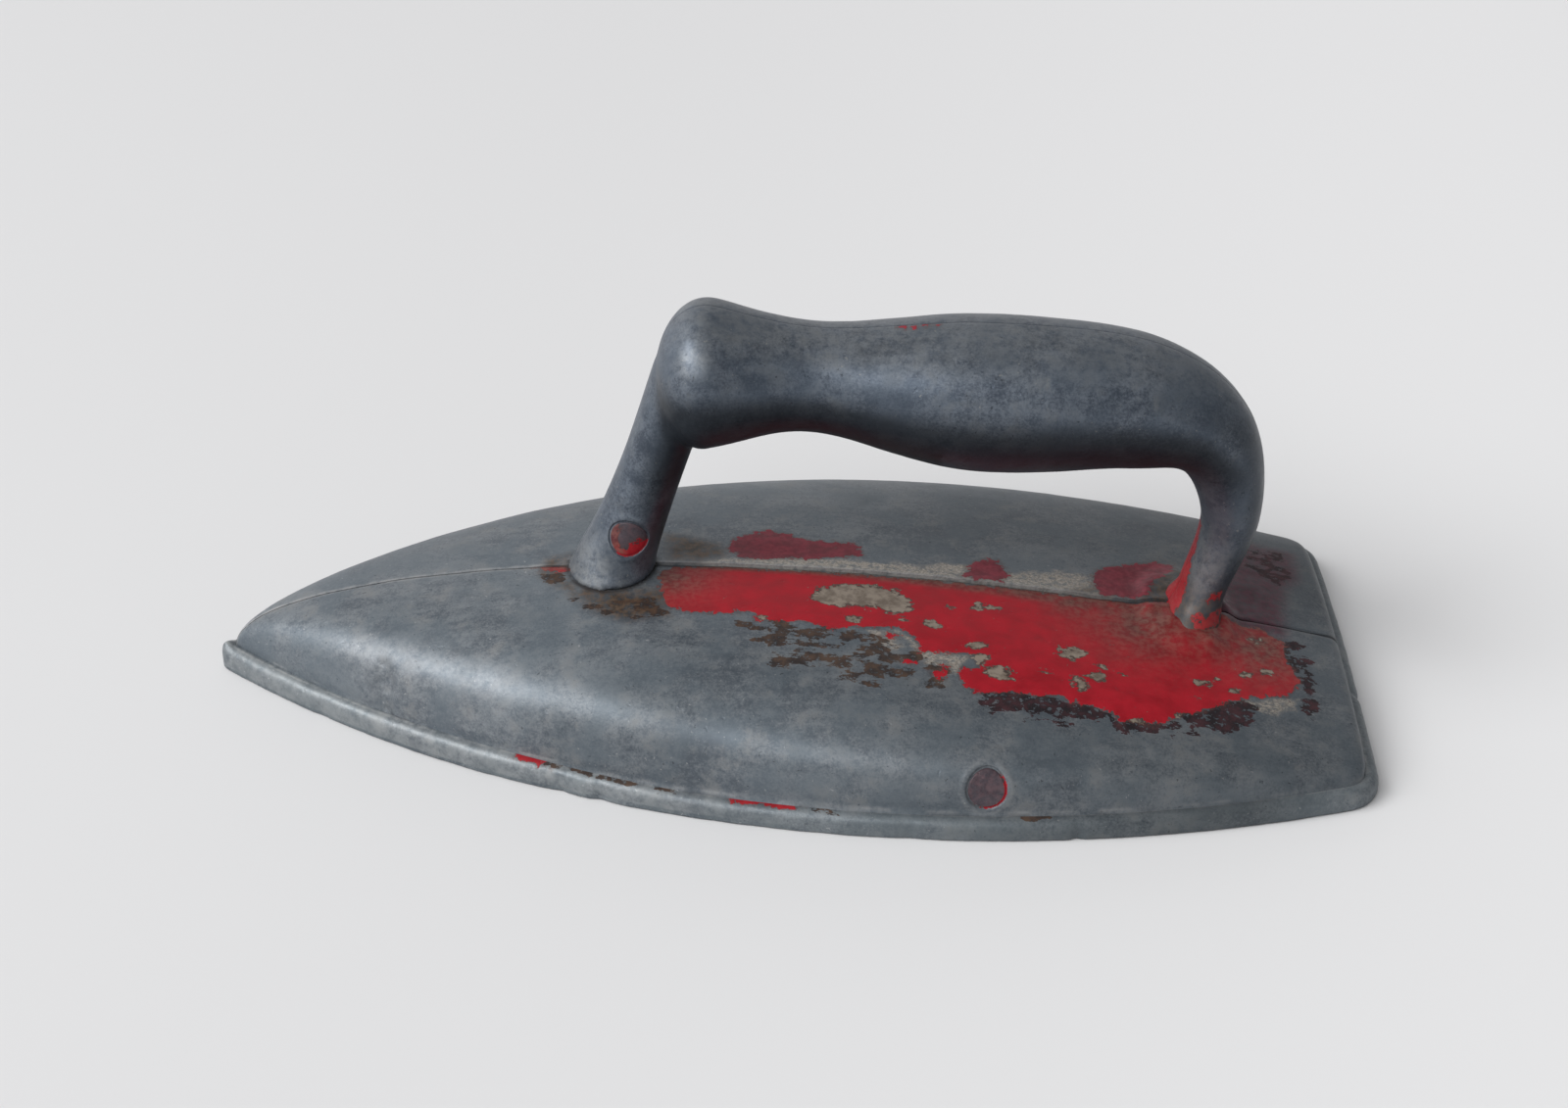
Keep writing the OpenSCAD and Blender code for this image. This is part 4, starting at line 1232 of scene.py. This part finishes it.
def soleMesh():
    profile = soleProfile()
    grid = np.array([soleRing(inset, z) for inset, z in profile])
    count = grid.shape[1]
    tangent = np.roll(grid, -1, 1) - np.roll(grid, 1, 1)
    outward = np.stack([tangent[:, :, 1], -tangent[:, :, 0], np.zeros(tangent.shape[:2])], 2)
    outward /= np.maximum(1e-9, np.linalg.norm(outward, axis=2, keepdims=True))
    outward *= np.sign((outward * (grid - grid.mean(1, keepdims=True))).sum(2, keepdims=True))
    flat, out = grid.reshape(-1, 3).copy(), outward.reshape(-1, 3)
    x, y, z = flat.T.copy()
    inset = np.repeat([i for i, _ in profile], count)
    rim = np.maximum(0, 1 - inset / 1.3)
    upper = step(0.2, 2.0, z)
    push = rim * waves(flat, sole["waves"])
    sink = np.zeros(len(flat))
    for nx, ny, r, depth, top in sole["nicks"]:
        bite = hill(np.hypot(x - nx, y - ny), r) * (0.8 + 0.4 * lumps(flat, 0.5, 34))
        push -= rim * depth * bite * (1 - upper + upper * top)
        sink += rim * upper * 0.5 * depth * top * bite
    reach, rise, width, start, end = sole["nub"]
    nub = hill(y, width) * step(start, end, x)
    flat += out * (push + nub * reach * rim)[:, None]
    ripple = rim * 0.03 * lumps(flat, 1.5, 35)
    flat[:, 2] += upper * (nub * rise * step(1.6, 0.3, inset) - sink + ripple)
    flat[:, 2] += (jointHeight(x) - plateT) * upper * step(1.75, 1.4, inset)
    top = (len(profile) - 1) * count
    ends = [tuple(range(count - 1, -1, -1)), tuple(range(top, top + count))]
    return newMesh("sole", flat, bandFaces(len(profile), count) + ends)


def soleMarks(mesh):
    points = meshPoints(mesh)
    x, y, z = points.T
    inset = np.minimum(halfWidth(x, 0) - np.abs(y), bowed(heelX(0), y) - x)
    atJoint = np.where((z > 1.9) & (y < 0), 0.45 - np.abs(inset - 1.15), outside)

    def inLength(flecks):
        return np.max([r - np.abs(x - fx) for fx, r in flecks], axis=0)

    red = np.minimum(atJoint * 1.6 + 0.1, inLength(sole["redFlecks"]) * 0.6)
    brown = np.minimum(atJoint * 2, inLength(sole["brownFlecks"]))
    broken = step(0.2, 0.7, lumps(points, 2.2, 36))
    heelSide = step(0.8, 0.1, inset) * step(54, 56, x)
    grimeAndShade = 0.3 * hill(inset - 1.3, 0.1) * (z > 1.8) * broken + 0.4 * step(0.3, 0.08, z)
    edge = 0.7 * hill(inset - 1.15, 0.15) * (z > 1.6) * (1 - broken)
    # painted light: the flange is lighter towards the nose, where the lamps are
    edge = edge + 0.35 * step(12, -20, x) * (z > 0.6)
    # painted shade: darker over the rear half, less at the heel end, and darker on the far side and on
    # the heel's side
    dark = 0.6 * step(0, 42, x) - 0.45 * step(44, 52, x) + 0.15 * step(0, 14, y) + 0.1 * heelSide
    grimeAndShade, dark = np.clip(grimeAndShade, 0, 1), np.clip(dark, 0, 1)
    mark(mesh, red=red, brown=brown, dull=0.15, grimeAndShade=grimeAndShade, edge=edge, dark=dark)


mesh = soleMesh()
soleMarks(mesh)
placePiece(mesh, "solePlate", "sole_plate", soleFinish, 50)
print("sole made")


def rivetMesh(which, seed):
    x0, z0 = rivets[which]
    r, soft, below = rivets["headR"], rivets["edgeRound"], rivets["headBelow"]
    head = [(r * k / 10, 0.0) for k in range(0, 9)]
    for a in np.linspace(0.15, math.pi / 2, 7):
        head.append((r - soft + soft * math.sin(a), soft * (1 - math.cos(a))))
    head += [(r, rivets["recessDepth"] + 0.1), (rivets["shankR"], rivets["recessDepth"] + 0.1)]
    turn = np.linspace(0, 2 * math.pi, rivets["around"], endpoint=False)
    rows = []
    for side in (-1, 1):
        skin = seats[which][side]
        half = []
        for radius, drop in head:
            circle = []
            for a in turn:
                x, z = x0 + radius * math.cos(a), z0 + radius * math.sin(a)
                y = skin.ray_cast(Vector((x, side * 60, z)), Vector((0, -side, 0)))[0].y
                circle.append((x, y - side * (below + drop), z))
            half.append(circle)
        rows += half if side < 0 else half[::-1]
    mesh = newMesh("rivet", np.concatenate(rows), bandFaces(len(rows), len(turn)))
    points = meshPoints(mesh)
    onFace = np.hypot(points[:, 0] - x0, points[:, 2] - z0) < r - soft
    dimple = rivets["hammer"] * (0.6 + 0.4 * lumps(points, 0.8, seed))
    points[:, 1] -= np.sign(points[:, 1]) * onFace * dimple
    setPoints(mesh, points)
    return mesh


def rivetMarks(mesh, which):
    points = meshPoints(mesh)
    x, y, z = points.T
    x0, z0 = rivets[which]
    r = np.hypot(x - x0, z - z0)
    if which == "post":  # paint stays in the lower part of this head, darker towards the nose
        low = (z0 - z) + 0.5 * (x - x0)
        red = np.maximum(0.9 * low - 0.75, np.where(r > 1.0, 0.7 * (x0 - x) - 0.55, outside))
        values = {"red": red, "old": step(0.4, -0.6, low), "dull": 0.1 + 0.7 * step(0.2, -0.8, x - x0)}
        shadow, shade = step(0.6, -1.2, low), 0.15
    else:
        low = (z0 - z) + 1.2 * (x - x0)
        values = {"red": np.where(r > rivets["headR"] - 0.35, 0.4 * low - 0.5, outside), "dull": 0.2}
        shadow, shade = step(0.2, -1.6, low), 0.1
    # painted shadow round the head on its upper, nose side, and painted shade over the whole head
    # through the dark mark
    grimeAndShade = 0.25 * hill(r - rivets["headR"], 0.15) * shadow
    mark(mesh, grimeAndShade=grimeAndShade, dust=0.3, smoke=0.35, dark=shade, **values)


for which in ("body", "post"):
    mesh = rivetMesh(which, 41 + len(which))
    rivetMarks(mesh, which)
    placePiece(mesh, which + "Rivet", which + "_rivet", rivetFinish)
print("rivets set")
